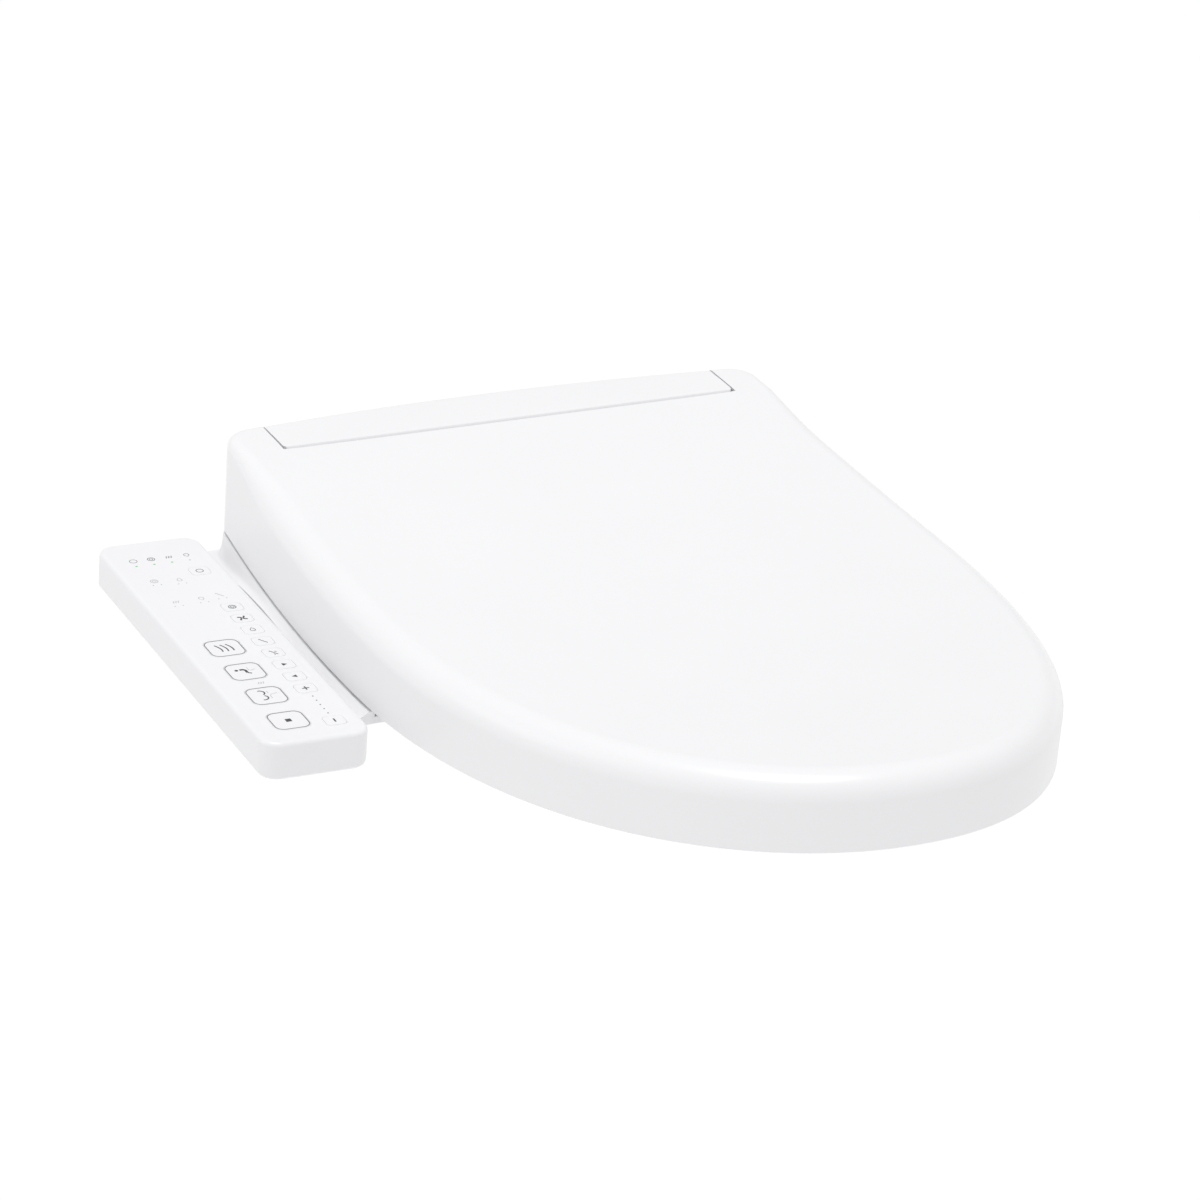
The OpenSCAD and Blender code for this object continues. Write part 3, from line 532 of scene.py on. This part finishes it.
# ---------------------------------------------------------------- fixed cover
def cover_stations():
    """X of the cover's sections, closer together at its ends."""
    right = [COVER_HALF - k for k in (0.0, 1.0, 2.0, 3.5, COVER_CORNER[0])]
    right += [(COVER_HALF - COVER_CORNER[0]) * (1 - i / 14) for i in range(1, 15)]
    return [-x for x in right[:-1]] + right[::-1]


def cover_section(x, bottom, top):
    """The cover's profile at one station, from its front face over the top to the rear skirt."""
    rear = rear_edge(x)
    cut_back = max(0.0, COVER_CORNER[1] * (1 - (COVER_HALF - abs(x)) / COVER_CORNER[0]))
    front = curve(HINGE_Y, HINGE_Z, SEAM_R - SEAM_GAP, *COVER_FRONT, 8)
    section = [(max(y, cut_back), z) for y, z in front]
    section += [(max(COVER_TOP_Y, cut_back + COVER_LIP), top - COVER_TOP_DROP)]
    section += curve(rear - REAR_ROUNDING, top - REAR_ROUNDING, REAR_ROUNDING, 90, 0, 12)
    section += [(rear, bottom), (COVER_SKIRT_Y, bottom), (COVER_SKIRT_Y, COVER_SKIRT_Z)]
    return [(x, y, z) for y, z in section]


def top_cover():
    """The cover follows the lid's rear curve; its front corners are cut back a little."""
    low, high = node_box("top_cover")
    loops = [cover_section(x, low[2], high[2]) for x in cover_stations()]
    cover = solid_from_loops("cover", loops)
    bevel(cover, COVER_BEVEL, segments=2, angle=35)
    shade(cover, angle=30)
    return finish_piece(cover, "unit", lid_white, ["top_cover"])


# ---------------------------------------------------------------- control panel
tray_low, tray_high = node_box("panel_tray")
face_low, face_high = node_box("panel_face")
PANEL_W = 64.0
PANEL_L = 277.5
PANEL_TURN = math.radians(-2.1)       # the panel's front end stands a little further out
PANEL_X = (face_low[0] + face_high[0]) / 2
PANEL_Y = (face_low[1] + face_high[1]) / 2
PANEL_TOP = face_high[2]
PANEL_LOW = tray_low[2]
PANEL_SEAM = tray_high[2]
PANEL_R = 11.0
UPPER_EDGE = 2.6              # rounding of the panel's upper edge
LOWER_EDGE = 3.0
SEAM_INSET = 0.03             # a fine groove where the two shells meet
SEAM_HALF = 0.05
BIG_KEY = (21.5, 21.5)
SIDE_KEY = (12.0, 11.0)
BIG_KEY_RISE = 0.05           # how far the keys stand above the panel
SIDE_KEY_RISE = 0.08
KEY_GAP = 0.3                 # a key's hole is this much wider than its cap
KEY_DEPTH = 1.2
KEY_CORNER = 0.25             # a key's corner radius, as a share of its shorter side
CORNER_SHRINK = 0.8           # how fast that radius shrinks with the inset
CAP_EDGE = 0.12               # rounding of a cap's upper edge
HOLE_DEPTH = 2.3
ABOVE_PANEL = 5.0             # the cuts for the keys end this far above the panel
OUTLINE_INSET = 1.3           # the printed outline is this much narrower than a large key
OUTLINE_CORNER = 0.5          # and its corner radius is this much smaller
OUTLINE_WIDTH = 0.55
LAMP_STEP = 11.2
LAMP_RADIUS = 0.75
UNLIT_RADIUS = 0.6
STATUS_OFFSET = (0.6, 7.4)    # from a lamp to its icon
DOT_RADIUS = 0.5
FIRST_DOT = 1.9               # places of the level dots, in steps of one dot from plus to minus
DOT_SPAN = 7.6
PAIR_DROP = 5.5               # the pair of dots in front of a setting mark
PAIR_HALF = 2.5
PAIR_RADIUS = 0.45
PRINT = 0.06                  # thickness of the printed marks


def on_panel(x, y):
    """From the panel's own frame, with its middle at the origin, to the object's frame."""
    c, s = math.cos(PANEL_TURN), math.sin(PANEL_TURN)
    return PANEL_X + x * c - y * s, PANEL_Y + x * s + y * c


def centre(name):
    """Middle of a node in the panel's own frame."""
    low, high = node_box(name)
    x, y = (low[0] + high[0]) / 2 - PANEL_X, (low[1] + high[1]) / 2 - PANEL_Y
    c, s = math.cos(PANEL_TURN), math.sin(PANEL_TURN)
    return x * c + y * s, y * c - x * s


def panel_loop(inset, z):
    """The panel's outline, drawn in by the inset."""
    return [(*on_panel(x, y), z)
            for x, y in round_rect(PANEL_W - 2 * inset, PANEL_L - 2 * inset, PANEL_R - inset, 12)]


def ribbon(points, width, closed=False):
    """A flat printed stroke along points in millimetres, as (vertices, faces)."""
    vertices, faces = [], []
    count = len(points)
    for i, (x, y) in enumerate(points):
        before = points[(i - 1) % count] if closed or i > 0 else points[i]
        after = points[(i + 1) % count] if closed or i < count - 1 else points[i]
        along = Vector((after[0] - before[0], after[1] - before[1])).normalized()
        across = Vector((-along.y, along.x)) * width / 2
        vertices += [(x + across.x, y + across.y), (x - across.x, y - across.y)]
    last = count if closed else count - 1
    for i in range(last):
        j = (i + 1) % count
        faces.append((2 * i, 2 * i + 1, 2 * j + 1, 2 * j))
    return vertices, faces


def patch(points):
    """A flat filled shape."""
    return list(points), [tuple(range(len(points)))]


def disc(x, y, radius):
    """A filled dot."""
    return patch(circle(x, y, radius, 20))


def ring_stroke(x, y, radius, width, steps=28):
    return ribbon(circle(x, y, radius, steps), width, closed=True)


def printed(name, shapes, z, body, material):
    """Printed marks: each flat shape becomes a thin closed layer standing on the surface."""
    vertices, faces = [], []
    for points, polygons in shapes:
        base = len(vertices)
        n = len(points)
        placed = [on_panel(x, y) for x, y in points]
        vertices += [(x, y, z) for x, y in placed] + [(x, y, z + PRINT) for x, y in placed]
        edges = []
        for polygon in polygons:
            faces.append(tuple(base + i for i in reversed(polygon)))
            faces.append(tuple(base + n + i for i in polygon))
            edges += zip(polygon, polygon[1:] + polygon[:1])
        for a, b in edges:
            if (b, a) not in edges:
                faces.append((base + a, base + b, base + n + b, base + n + a))
    mark = new_object(name, vertices, faces, smooth=False)
    return finish_piece(mark, body, material)


def dryer_icon(x, y):
    """Three gusts side by side."""
    gusts = []
    for k in (-1, 0, 1):
        points = [(x + k * 3.4 + 1.2 - 2.6 * (1 - t) ** 2.2 - 0.5 * t ** 4, y + 4.4 - 8.8 * t)
                  for t in [i / 16 for i in range(17)]]
        gusts.append(ribbon(points, 0.8))
    return gusts


def sitting_icon(x, y):
    """A seated figure, upright for someone on the seat."""
    return [
        disc(x - 4.6, y + 2.4, 1.05),
        ribbon([(x - 2.6, y + 2.7), (x - 0.6, y + 2.6), (x + 0.5, y + 1.6), (x + 0.7, y - 1.6)], 1.6),
        ribbon([(x + 0.9, y - 1.8), (x + 2.8, y - 3.0)], 0.9),
    ]


def sitting_spray(x, y):
    jet = [(x + 2.4, y + 4.8), (x + 2.5, y + 1.4), (x + 3.6, y + 0.7), (x + 6.2, y + 1.9)]
    return [ribbon(jet, 0.35)]


def rear_icon(x, y):
    """Two rounds facing the spray."""
    return [
        ribbon(curve(x - 2.6, y + 3.9, 2.7, 100, -60, 16), 0.8),
        ribbon(curve(x - 2.6, y - 2.1, 2.7, 60, -110, 16), 0.8),
    ]


def rear_spray(x, y):
    jet = [(x + 2.0, y - 3.8), (x + 1.9, y - 0.8), (x + 3.1, y + 1.1), (x + 6.8, y + 1.9)]
    return [ribbon([(x + 1.9, y + 5.4), (x + 2.0, y + 3.0)], 0.35), ribbon(jet, 0.35)]


def fan_icon(x, y):
    """Four curved blades."""
    blades = []
    for k in range(4):
        a = math.radians(90 * k + 20)
        spine = [(x + r * math.cos(a + r * 0.22), y + r * math.sin(a + r * 0.22))
                 for r in (0.5, 1.4, 2.3, 3.1)]
        blades.append(ribbon(spine, 1.1))
    return blades


def wave_icon(x, y, spread=1.5, tall=2.6):
    """Three upright waves side by side."""
    waves = []
    for k in (-1, 0, 1):
        points = [(x + k * spread + 0.5 * math.sin(t * math.pi * 2), y + tall / 2 - tall * t)
                  for t in [i / 10 for i in range(11)]]
        waves.append(ribbon(points, 0.4))
    return waves


def seat_icon(x, y):
    return [ring_stroke(x, y, 2.2, 0.45, 24), ring_stroke(x, y, 1.1, 0.35, 18)]


def wand_icon(x, y):
    """A slanting stroke."""
    return [ribbon([(x - 1.8, y + 2.7), (x + 1.8, y - 2.7)], 0.55)]


def sweep_icon(x, y):
    """The wand with its two directions."""
    return wand_icon(x, y) + [ribbon([(x - 0.4, y - 1.6), (x + 0.2, y - 3.0)], 0.4),
                              ribbon([(x + 0.9, y + 1.4), (x + 2.2, y + 0.6)], 0.4)]


def drop_icon(x, y):
    """A drop of water with its point to the rear."""
    return [ribbon(curve(x, y - 0.4, 1.5, 130, 410, 14), 0.4),
            ribbon([(x - 1.0, y + 0.8), (x, y + 2.6), (x + 1.0, y + 0.8)], 0.4)]


def lamp_bulb_icon(x, y):
    return [ribbon(curve(x, y + 0.3, 1.6, -60, 240, 14), 0.4),
            ribbon([(x - 0.8, y - 1.8), (x + 0.8, y - 1.8)], 0.4)]


def square_icon(x, y):
    half = 1.7
    return [patch([(x - half, y - half), (x + half, y - half), (x + half, y + half), (x - half, y + half)])]


def triangle_icon(x, y, way):
    """A filled triangle that points along X, either way."""
    return [patch([(x - way * 1.2, y + 1.6), (x - way * 1.2, y - 1.6), (x + way * 1.8, y)][::way])]


def cross_icon(x, y):
    """A plus; its upright bar is two strokes, so that no part of the print lies double."""
    reach, half_stroke = 2.1, 0.4
    bars = ([(x - reach, y), (x + reach, y)],
            [(x, y - reach), (x, y - half_stroke)],
            [(x, y + half_stroke), (x, y + reach)])
    return [ribbon(bar, 2 * half_stroke) for bar in bars]


def bar_icon(x, y):
    return [ribbon([(x, y + 2.0), (x, y - 2.0)], 0.9)]


KEYS = {
    "key_dryer": dryer_icon,
    "key_front": sitting_icon,
    "key_rear": rear_icon,
    "key_stop": square_icon,
    "key_f1": seat_icon,
    "key_f2": fan_icon,
    "key_f3": drop_icon,
    "key_f4": wand_icon,
    "key_f5": sweep_icon,
    "key_forward": lambda x, y: triangle_icon(x, y, 1),
    "key_back": lambda x, y: triangle_icon(x, y, -1),
    "key_plus": cross_icon,
    "key_minus": bar_icon,
    "key_power": lambda x, y: [ring_stroke(x, y, 2.2, 0.4)],
}
BIG_KEYS = ("key_dryer", "key_front", "key_rear", "key_stop")


def key_size(name):
    return BIG_KEY if name in BIG_KEYS else SIDE_KEY


def key_loop(name, inset, z):
    """A key's outline, drawn in by the inset."""
    x, y = centre(name)
    w, l = key_size(name)
    r = min(w, l) * KEY_CORNER - inset * CORNER_SHRINK
    return [(*on_panel(x + px, y + py), z) for px, py in round_rect(w - 2 * inset, l - 2 * inset, r, 8)]


def key_hole(name):
    """The cut for a key's hole in the panel's face."""
    x, y = centre(name)
    w, l = (side + KEY_GAP for side in key_size(name))
    plan = [on_panel(x + px, y + py) for px, py in round_rect(w, l, min(w, l) * KEY_CORNER, 6)]
    return prism_z("hole", plan, PANEL_TOP - HOLE_DEPTH, PANEL_TOP + ABOVE_PANEL)


def panel_shells():
    """The panel's face with the holes for its keys, and the tray under it."""
    loops = [panel_loop(SEAM_INSET, PANEL_SEAM), panel_loop(0, PANEL_SEAM + SEAM_HALF)]
    for i in range(9):
        a = math.radians(90 * i / 8)
        loops.append(panel_loop(UPPER_EDGE * (1 - math.cos(a)), PANEL_TOP - UPPER_EDGE * (1 - math.sin(a))))
    face = solid_from_loops("panel_top_shell", loops)
    cut(face, [key_hole(name) for name in KEYS])
    shade(face, angle=30)
    finish_piece(face, "unit", white, ["panel_face", "panel_overlay"])

    loops = []
    for i in range(7):
        a = math.radians(90 * i / 6)
        loops.append(panel_loop(LOWER_EDGE * (1 - math.sin(a)), PANEL_LOW + LOWER_EDGE * (1 - math.cos(a))))
    loops += [panel_loop(0, PANEL_SEAM - SEAM_HALF), panel_loop(SEAM_INSET, PANEL_SEAM)]
    tray = solid_from_loops("panel_lower_shell", loops)
    shade(tray, angle=30)
    finish_piece(tray, "unit", white, ["panel_tray"])


def key_face(name):
    """Height of a key's upper side."""
    return PANEL_TOP + (BIG_KEY_RISE if name in BIG_KEYS else SIDE_KEY_RISE)


def key_mark(name, suffix, shapes, ink):
    printed(name + suffix, shapes, key_face(name), name, ink)


def panel_keys():
    """Each key is a soft-edged cap in its hole, with its mark printed on it."""
    for name, icon in KEYS.items():
        top = key_face(name)
        third = CAP_EDGE / 3
        levels = ((0, PANEL_TOP - KEY_DEPTH), (0, top - CAP_EDGE), (third, top - third), (CAP_EDGE, top))
        cap = solid_from_loops(name + "_cap", [key_loop(name, inset, z) for inset, z in levels])
        shade(cap, angle=50)
        finish_piece(cap, name, satin_white if name in BIG_KEYS else white, [name])
        x, y = centre(name)
        key_mark(name, "_mark", icon(x, y), print_ink)
        if name in BIG_KEYS:
            w, l = (side - OUTLINE_INSET for side in BIG_KEY)
            r = min(BIG_KEY) * KEY_CORNER - OUTLINE_CORNER
            edge = [(x + px, y + py) for px, py in round_rect(w, l, r, 10)]
            key_mark(name, "_outline", [ribbon(edge, OUTLINE_WIDTH, closed=True)], grey_ink)
    key_mark("key_front", "_spray", sitting_spray(*centre("key_front")), pale_ink)
    key_mark("key_rear", "_spray", rear_spray(*centre("key_rear")), pale_ink)


# The faint setting marks in the panel's own frame: x, y and the symbol.
SETTINGS = (
    (-15, 82, seat_icon),
    (0, 80, drop_icon),
    (-13, 51, wave_icon),
    (3, 51.5, lamp_bulb_icon),
    (15, 53.5, wand_icon),
)
STATUS_ICONS = (lambda x, y: [ring_stroke(x, y, 2.3, 0.35)], seat_icon, wave_icon, lamp_bulb_icon)


def panel_print(name, shapes, ink):
    printed(name, shapes, PANEL_TOP, "unit", ink)


def status_marks():
    """Four status icons with a lamp each, of which the last is off."""
    lamp_x, lamp_y = centre("panel_lamps")
    lamps = [lamp_x + LAMP_STEP * (i - 1.5) for i in range(4)]
    shapes = []
    for x, icon in zip(lamps, STATUS_ICONS):
        shapes += icon(x + STATUS_OFFSET[0], lamp_y + STATUS_OFFSET[1])
    panel_print("status_icons", shapes, grey_ink)
    printed("status_lights", [disc(x, lamp_y, LAMP_RADIUS) for x in lamps[:3]], PANEL_TOP, "unit",
            MATERIALS["lamp_green"])
    panel_print("status_light_off", [disc(lamps[3], lamp_y, UNLIT_RADIUS)], pale_ink)


def level_dots():
    """Five dots between plus and minus."""
    x_plus, y_plus = centre("key_plus")
    x_minus, y_minus = centre("key_minus")
    dots = []
    for i in range(5):
        t = (i + FIRST_DOT) / DOT_SPAN
        dots.append(disc(x_plus + (x_minus - x_plus) * t, y_plus + (y_minus - y_plus) * t, DOT_RADIUS))
    panel_print("level_dots", dots, grey_ink)


def setting_marks():
    """Faint symbols, each with a pair of dots in front of it."""
    shapes = []
    for x, y, icon in SETTINGS:
        shapes += icon(x, y)
        shapes += [disc(x + k, y - PAIR_DROP, PAIR_RADIUS) for k in (-PAIR_HALF, PAIR_HALF)]
    panel_print("setting_marks", shapes, pale_ink)


def panel_marks():
    """Marks printed on the panel itself."""
    status_marks()
    level_dots()
    x_front, y_front = centre("key_front")
    y_rear = centre("key_rear")[1]
    panel_print("wash_mark", wave_icon(x_front + 3, (y_front + y_rear) / 2, spread=1.4, tall=2.2), pale_ink)
    setting_marks()


# ---------------------------------------------------------------- ledge between the panel and the lid
FLANGE_TOP = 4.0
HOUSING_FRONT = -56.0
LEDGE_FRONT = -197.4
LEDGE_REAR = 40.0
LEDGE_LOW = 0.1
LEDGE_RISE = 0.05             # the sweep begins just over the flange's top
LEDGE_GAP = 1.4               # room under the lid's edge
PANEL_GAP = 0.3               # room beside the panel
LID_LAP = 0.2                 # how far inside the lid's outline the sweep ends
LEDGE_START = 0.4             # the sweep begins this far from the panel's side
LEDGE_BACK = 4.0              # width of the flat strip behind the sweep
STEP_DEPTH = 4.8              # in front of the housing the low edge is this far under the lid's edge
STEP_LENGTH = 70.0            # behind the housing's front it drops to the flange over this length
BEND_FRONT = 1.6              # power of the sweep in front of the housing
BEND_REAR = 8.0               # power of the sweep at its rear end


def panel_side(y):
    """X of the panel's inner side."""
    return PANEL_X + PANEL_W / 2 / math.cos(PANEL_TURN) - (y - PANEL_Y) * math.tan(PANEL_TURN)


def lid_side(y):
    """Half width of the lid, around its rear corner too."""
    if y > CORNER_Y:
        return CORNER_X + math.sqrt(CORNER_R ** 2 - (y - CORNER_Y) ** 2)
    return side_x(max(y, WIDE_Y))


def ledge_section(y):
    """Profile of the ledge at one Y: the sweep, the strip behind it and the base."""
    outer = panel_side(y) + PANEL_GAP
    inner = -LID_LAP - lid_side(y)
    back = inner + LEDGE_BACK
    low = FLANGE_TOP + LEDGE_RISE
    high = low_z(y) - LEDGE_GAP
    step = max(0.0, min(1.0, (HOUSING_FRONT + STEP_LENGTH - y) / STEP_LENGTH))
    first = low + step * max(0.0, low_z(y) - STEP_DEPTH - low)
    behind = max(0.0, (y - HOUSING_FRONT) / (LEDGE_REAR - HOUSING_FRONT))
    bend = BEND_FRONT + (BEND_REAR - BEND_FRONT) * behind
    points = [(outer, y, low)]
    for k in range(13):
        share = k / 12
        x = outer + LEDGE_START + (inner - outer - LEDGE_START) * share
        points.append((x, y, first + (high - first) * share ** bend))
    return points + [(back, y, high), (back, y, LEDGE_LOW), (outer, y, LEDGE_LOW)]


def side_ledge():
    """The flange's upper side, which rises in one sweep from the panel to the lid's edge."""
    stations = [LEDGE_REAR + (LEDGE_FRONT - LEDGE_REAR) * i / 40 for i in range(41)]
    ledge = solid_from_loops("flange_sweep", [ledge_section(y) for y in stations])
    shade(ledge, angle=30)
    return finish_piece(ledge, "unit", white)


# ---------------------------------------------------------------- seat
SEAT_INSET = 8.0              # how far the seat's edge stands inside the lid's
SEAT_REAR = -61.0
SEAT_CORNER = 10.0
SEAT_DROP = 13.5              # the seat's top lies this far under the lid's
SEAT_SEAM = 14.5              # where the two seat shells meet, below the seat's top
SEAT_LIFT = 2.5               # the seat's underside lies this far over the skirt's lower edge
SEAT_WALL = 3.0
FLOOR_REAR = 23.0             # height of the underside behind the opening
FLOOR_RISE = (-110.0, 25.0)   # the Y where the underside begins to rise, and the length of the rise
OPENING_HALF = 106.0
OPENING_FRONT = -386.0
OPENING_REAR = -96.0
OPENING_Y = (OPENING_FRONT + OPENING_REAR) / 2
OPENING_LEN = (OPENING_REAR - OPENING_FRONT) / 2


def seat_outer(inset):
    """The seat's outer outline, drawn in by the inset."""
    from_lid = inset + SEAT_INSET
    x = side_x(SEAT_REAR) - from_lid - SEAT_CORNER
    y = SEAT_REAR - inset - SEAT_CORNER
    corner = curve(x, y, SEAT_CORNER, 0, 90, 12)[1:]
    rear = [(x * (1 - k / 24), SEAT_REAR - inset) for k in range(1, 25)]
    return both_sides(nose(from_lid, 45) + sides(from_lid, WIDE_Y, y, 15) + corner + rear)


def opening_at(degrees, grow):
    """A point of the opening's edge; 0 degrees is its front."""
    a = math.radians(degrees)
    return ((OPENING_HALF + grow) * max(math.sin(a), 0) ** 0.95,
            OPENING_Y - (OPENING_LEN + grow) * math.cos(a))


def seat_inner(grow):
    """The opening's outline; its points face those of seat_outer."""
    half = [opening_at(2 * k, grow) for k in range(46)]
    half += [opening_at(90 + 42.5 * k / 15, grow) for k in range(1, 16)]
    half += [opening_at(132.5 + k, grow) for k in range(1, 13)]
    half += [opening_at(144.5 + 35.5 * k / 24, grow) for k in range(1, 25)]
    return both_sides(half)


def seat_between(share):
    """An outline between the outer edge and the opening."""
    return [(a[0] * (1 - share) + b[0] * share, a[1] * (1 - share) + b[1] * share)
            for a, b in zip(seat_outer(0), seat_inner(0))]


def seat_drop(loop, drop):
    """Lays an outline this far under the seat's top."""
    return [(x, y, top_z(y) - SEAT_DROP - drop) for x, y in loop]


def seat_floor(loop, lift):
    """Lays an outline this far over the seat's underside."""
    points = []
    for x, y in loop:
        rise = smooth_step((y - FLOOR_RISE[0]) / FLOOR_RISE[1])
        low = low_z(y) + SEAT_LIFT
        points.append((x, y, low + (max(FLOOR_REAR, low) - low) * rise + lift))
    return points


def seat_upper_loops():
    """Once around the upper shell's section: outside from seam to seam, then back along its inside."""
    outside = ((0.2, SEAT_SEAM), (0, SEAT_SEAM - 0.3), (0, 7.5), (0.6, 4.8), (2.4, 2.4), (5.5, 0.9))
    across = ((0.14, 0.25), (0.25, 0), (0.4, 0.3), (0.55, 1.0), (0.7, 2.2), (0.82, 3.8))
    opening = ((5, 6.2), (2, 8.4), (0.4, 11), (0, 13), (0, SEAT_SEAM - 0.3), (0.2, SEAT_SEAM))
    loops = [seat_drop(seat_outer(inset), drop) for inset, drop in outside]
    loops += [seat_drop(seat_between(share), drop) for share, drop in across]
    loops += [seat_drop(seat_inner(grow), drop) for grow, drop in opening]
    loops += [seat_drop(seat_inner(SEAT_WALL), SEAT_SEAM), seat_drop(seat_inner(SEAT_WALL), 12),
              seat_drop(seat_between(0.6), 4.5), seat_drop(seat_between(0.25), 3),
              seat_drop(seat_outer(5), 5.5), seat_drop(seat_outer(SEAT_WALL), SEAT_SEAM)]
    return loops


def seat_lower_loops():
    """Once around the lower shell's section: along its inside, then back along the underside."""
    w = SEAT_WALL
    return [seat_drop(seat_outer(0.2), SEAT_SEAM), seat_drop(seat_outer(w), SEAT_SEAM),
            seat_floor(seat_outer(w), w), seat_floor(seat_inner(w), w),
            seat_drop(seat_inner(w), SEAT_SEAM), seat_drop(seat_inner(0.2), SEAT_SEAM),
            seat_drop(seat_inner(0), SEAT_SEAM + 0.3), seat_floor(seat_inner(0.2), 1.6),
            seat_floor(seat_inner(1.2), 0.4), seat_floor(seat_inner(2.6), 0),
            seat_floor(seat_outer(w), 0), seat_floor(seat_outer(1.4), 0.5),
            seat_floor(seat_outer(0.3), 1.8), seat_drop(seat_outer(0), SEAT_SEAM + 0.3)]


def seat_shells():
    top = loft("seat_upper_shell", seat_upper_loops(), ring=True)
    shade(top, angle=60)
    finish_piece(top, "seat", white, ["seat_top"])
    base = loft("seat_lower_shell", seat_lower_loops(), ring=True)
    shade(base, angle=50)
    finish_piece(base, "seat", white, ["seat_base"])


# ---------------------------------------------------------------- camera, light and floor
CAMERA_TURN = -29.76
CAMERA_RISE = 24.31
CAMERA_ROLL = 4.556
CAMERA_FAR = 2429.4           # distance from the target
CAMERA_TARGET = (-21.7, -148.8, 30.2)
LENS = 125.3
SENSOR = 36
VIEW_LIMIT = 300              # in metres, past the floor's far edge
FLOOR_DROP = 1300.0           # the floor is so far down that the seat's shadow stays out of view
FLOOR_HALF = 90000.0
FLOOR_DEPTH = 20.0
SKY = 0.70
STUDIO_MIDDLE = (0, -0.2, 0.03)       # what the lights face, in metres, like their own places
SUN_PLACE = (-0.8, -0.6, 6.0)
SUN_ANGLE = 0.47
SUN_POWER = 1.25
FILL_PLACE = (-2.4, 0.8, 1.2)
FILL_SIZE = 1.4
FILL_POWER = 3


def camera():
    """Stands away from the target at a turn and a rise, and rolls about its own axis."""
    turn, rise, roll = (math.radians(v) for v in (CAMERA_TURN, CAMERA_RISE, CAMERA_ROLL))
    back = Vector((math.sin(turn) * math.cos(rise), -math.cos(turn) * math.cos(rise), math.sin(rise)))
    level = Vector((math.cos(turn), math.sin(turn), 0))
    upright = back.cross(level)
    right = math.cos(roll) * level + math.sin(roll) * upright
    up = math.cos(roll) * upright - math.sin(roll) * level
    data = bpy.data.cameras.new("camera")
    data.lens = LENS
    data.sensor_width = SENSOR
    data.clip_end = VIEW_LIMIT
    obj = bpy.data.objects.new("camera", data)
    bpy.context.scene.collection.objects.link(obj)
    place = (Vector(CAMERA_TARGET) + back * CAMERA_FAR) * MM
    turned = Matrix((right, up, back)).transposed().to_4x4()
    obj.matrix_world = Matrix.Translation(place) @ turned
    bpy.context.scene.camera = obj


def light(name, kind, place, power):
    """Adds a light that faces the studio's middle, and returns its data."""
    data = bpy.data.lights.new(name, kind)
    data.energy = power
    obj = bpy.data.objects.new(name, data)
    bpy.context.scene.collection.objects.link(obj)
    obj.location = place
    obj.rotation_euler = (Vector(STUDIO_MIDDLE) - Vector(place)).to_track_quat("-Z", "Y").to_euler()
    return data


def studio():
    """An even white sky, a soft sun from above, a fill from the left and a far floor."""
    world = bpy.data.worlds.new("studio")
    world.use_nodes = True
    sky = world.node_tree.nodes["Background"]
    sky.inputs["Color"].default_value = (1.0, 1.0, 1.0, 1)
    sky.inputs["Strength"].default_value = SKY
    bpy.context.scene.world = world
    light("key_light", "SUN", SUN_PLACE, SUN_POWER).angle = SUN_ANGLE
    fill = light("left_fill", "AREA", FILL_PLACE, FILL_POWER)
    fill.shape = "DISK"
    fill.size = FILL_SIZE
    corners = [(x * FLOOR_HALF, y * FLOOR_HALF) for x, y in ((-1, -1), (1, -1), (1, 1), (-1, 1))]
    floor = prism_z("floor", corners, -FLOOR_DROP - FLOOR_DEPTH, -FLOOR_DROP)
    floor.data.materials.append(plastic("floor_paint", (0.93, 0.93, 0.93), 0.9, mottle=0.004))
    bpy.context.scene.view_settings.view_transform = "Standard"


camera()
studio()
lid_shell()
top_cover()
panel_shells()
side_ledge()
panel_keys()
panel_marks()
seat_shells()
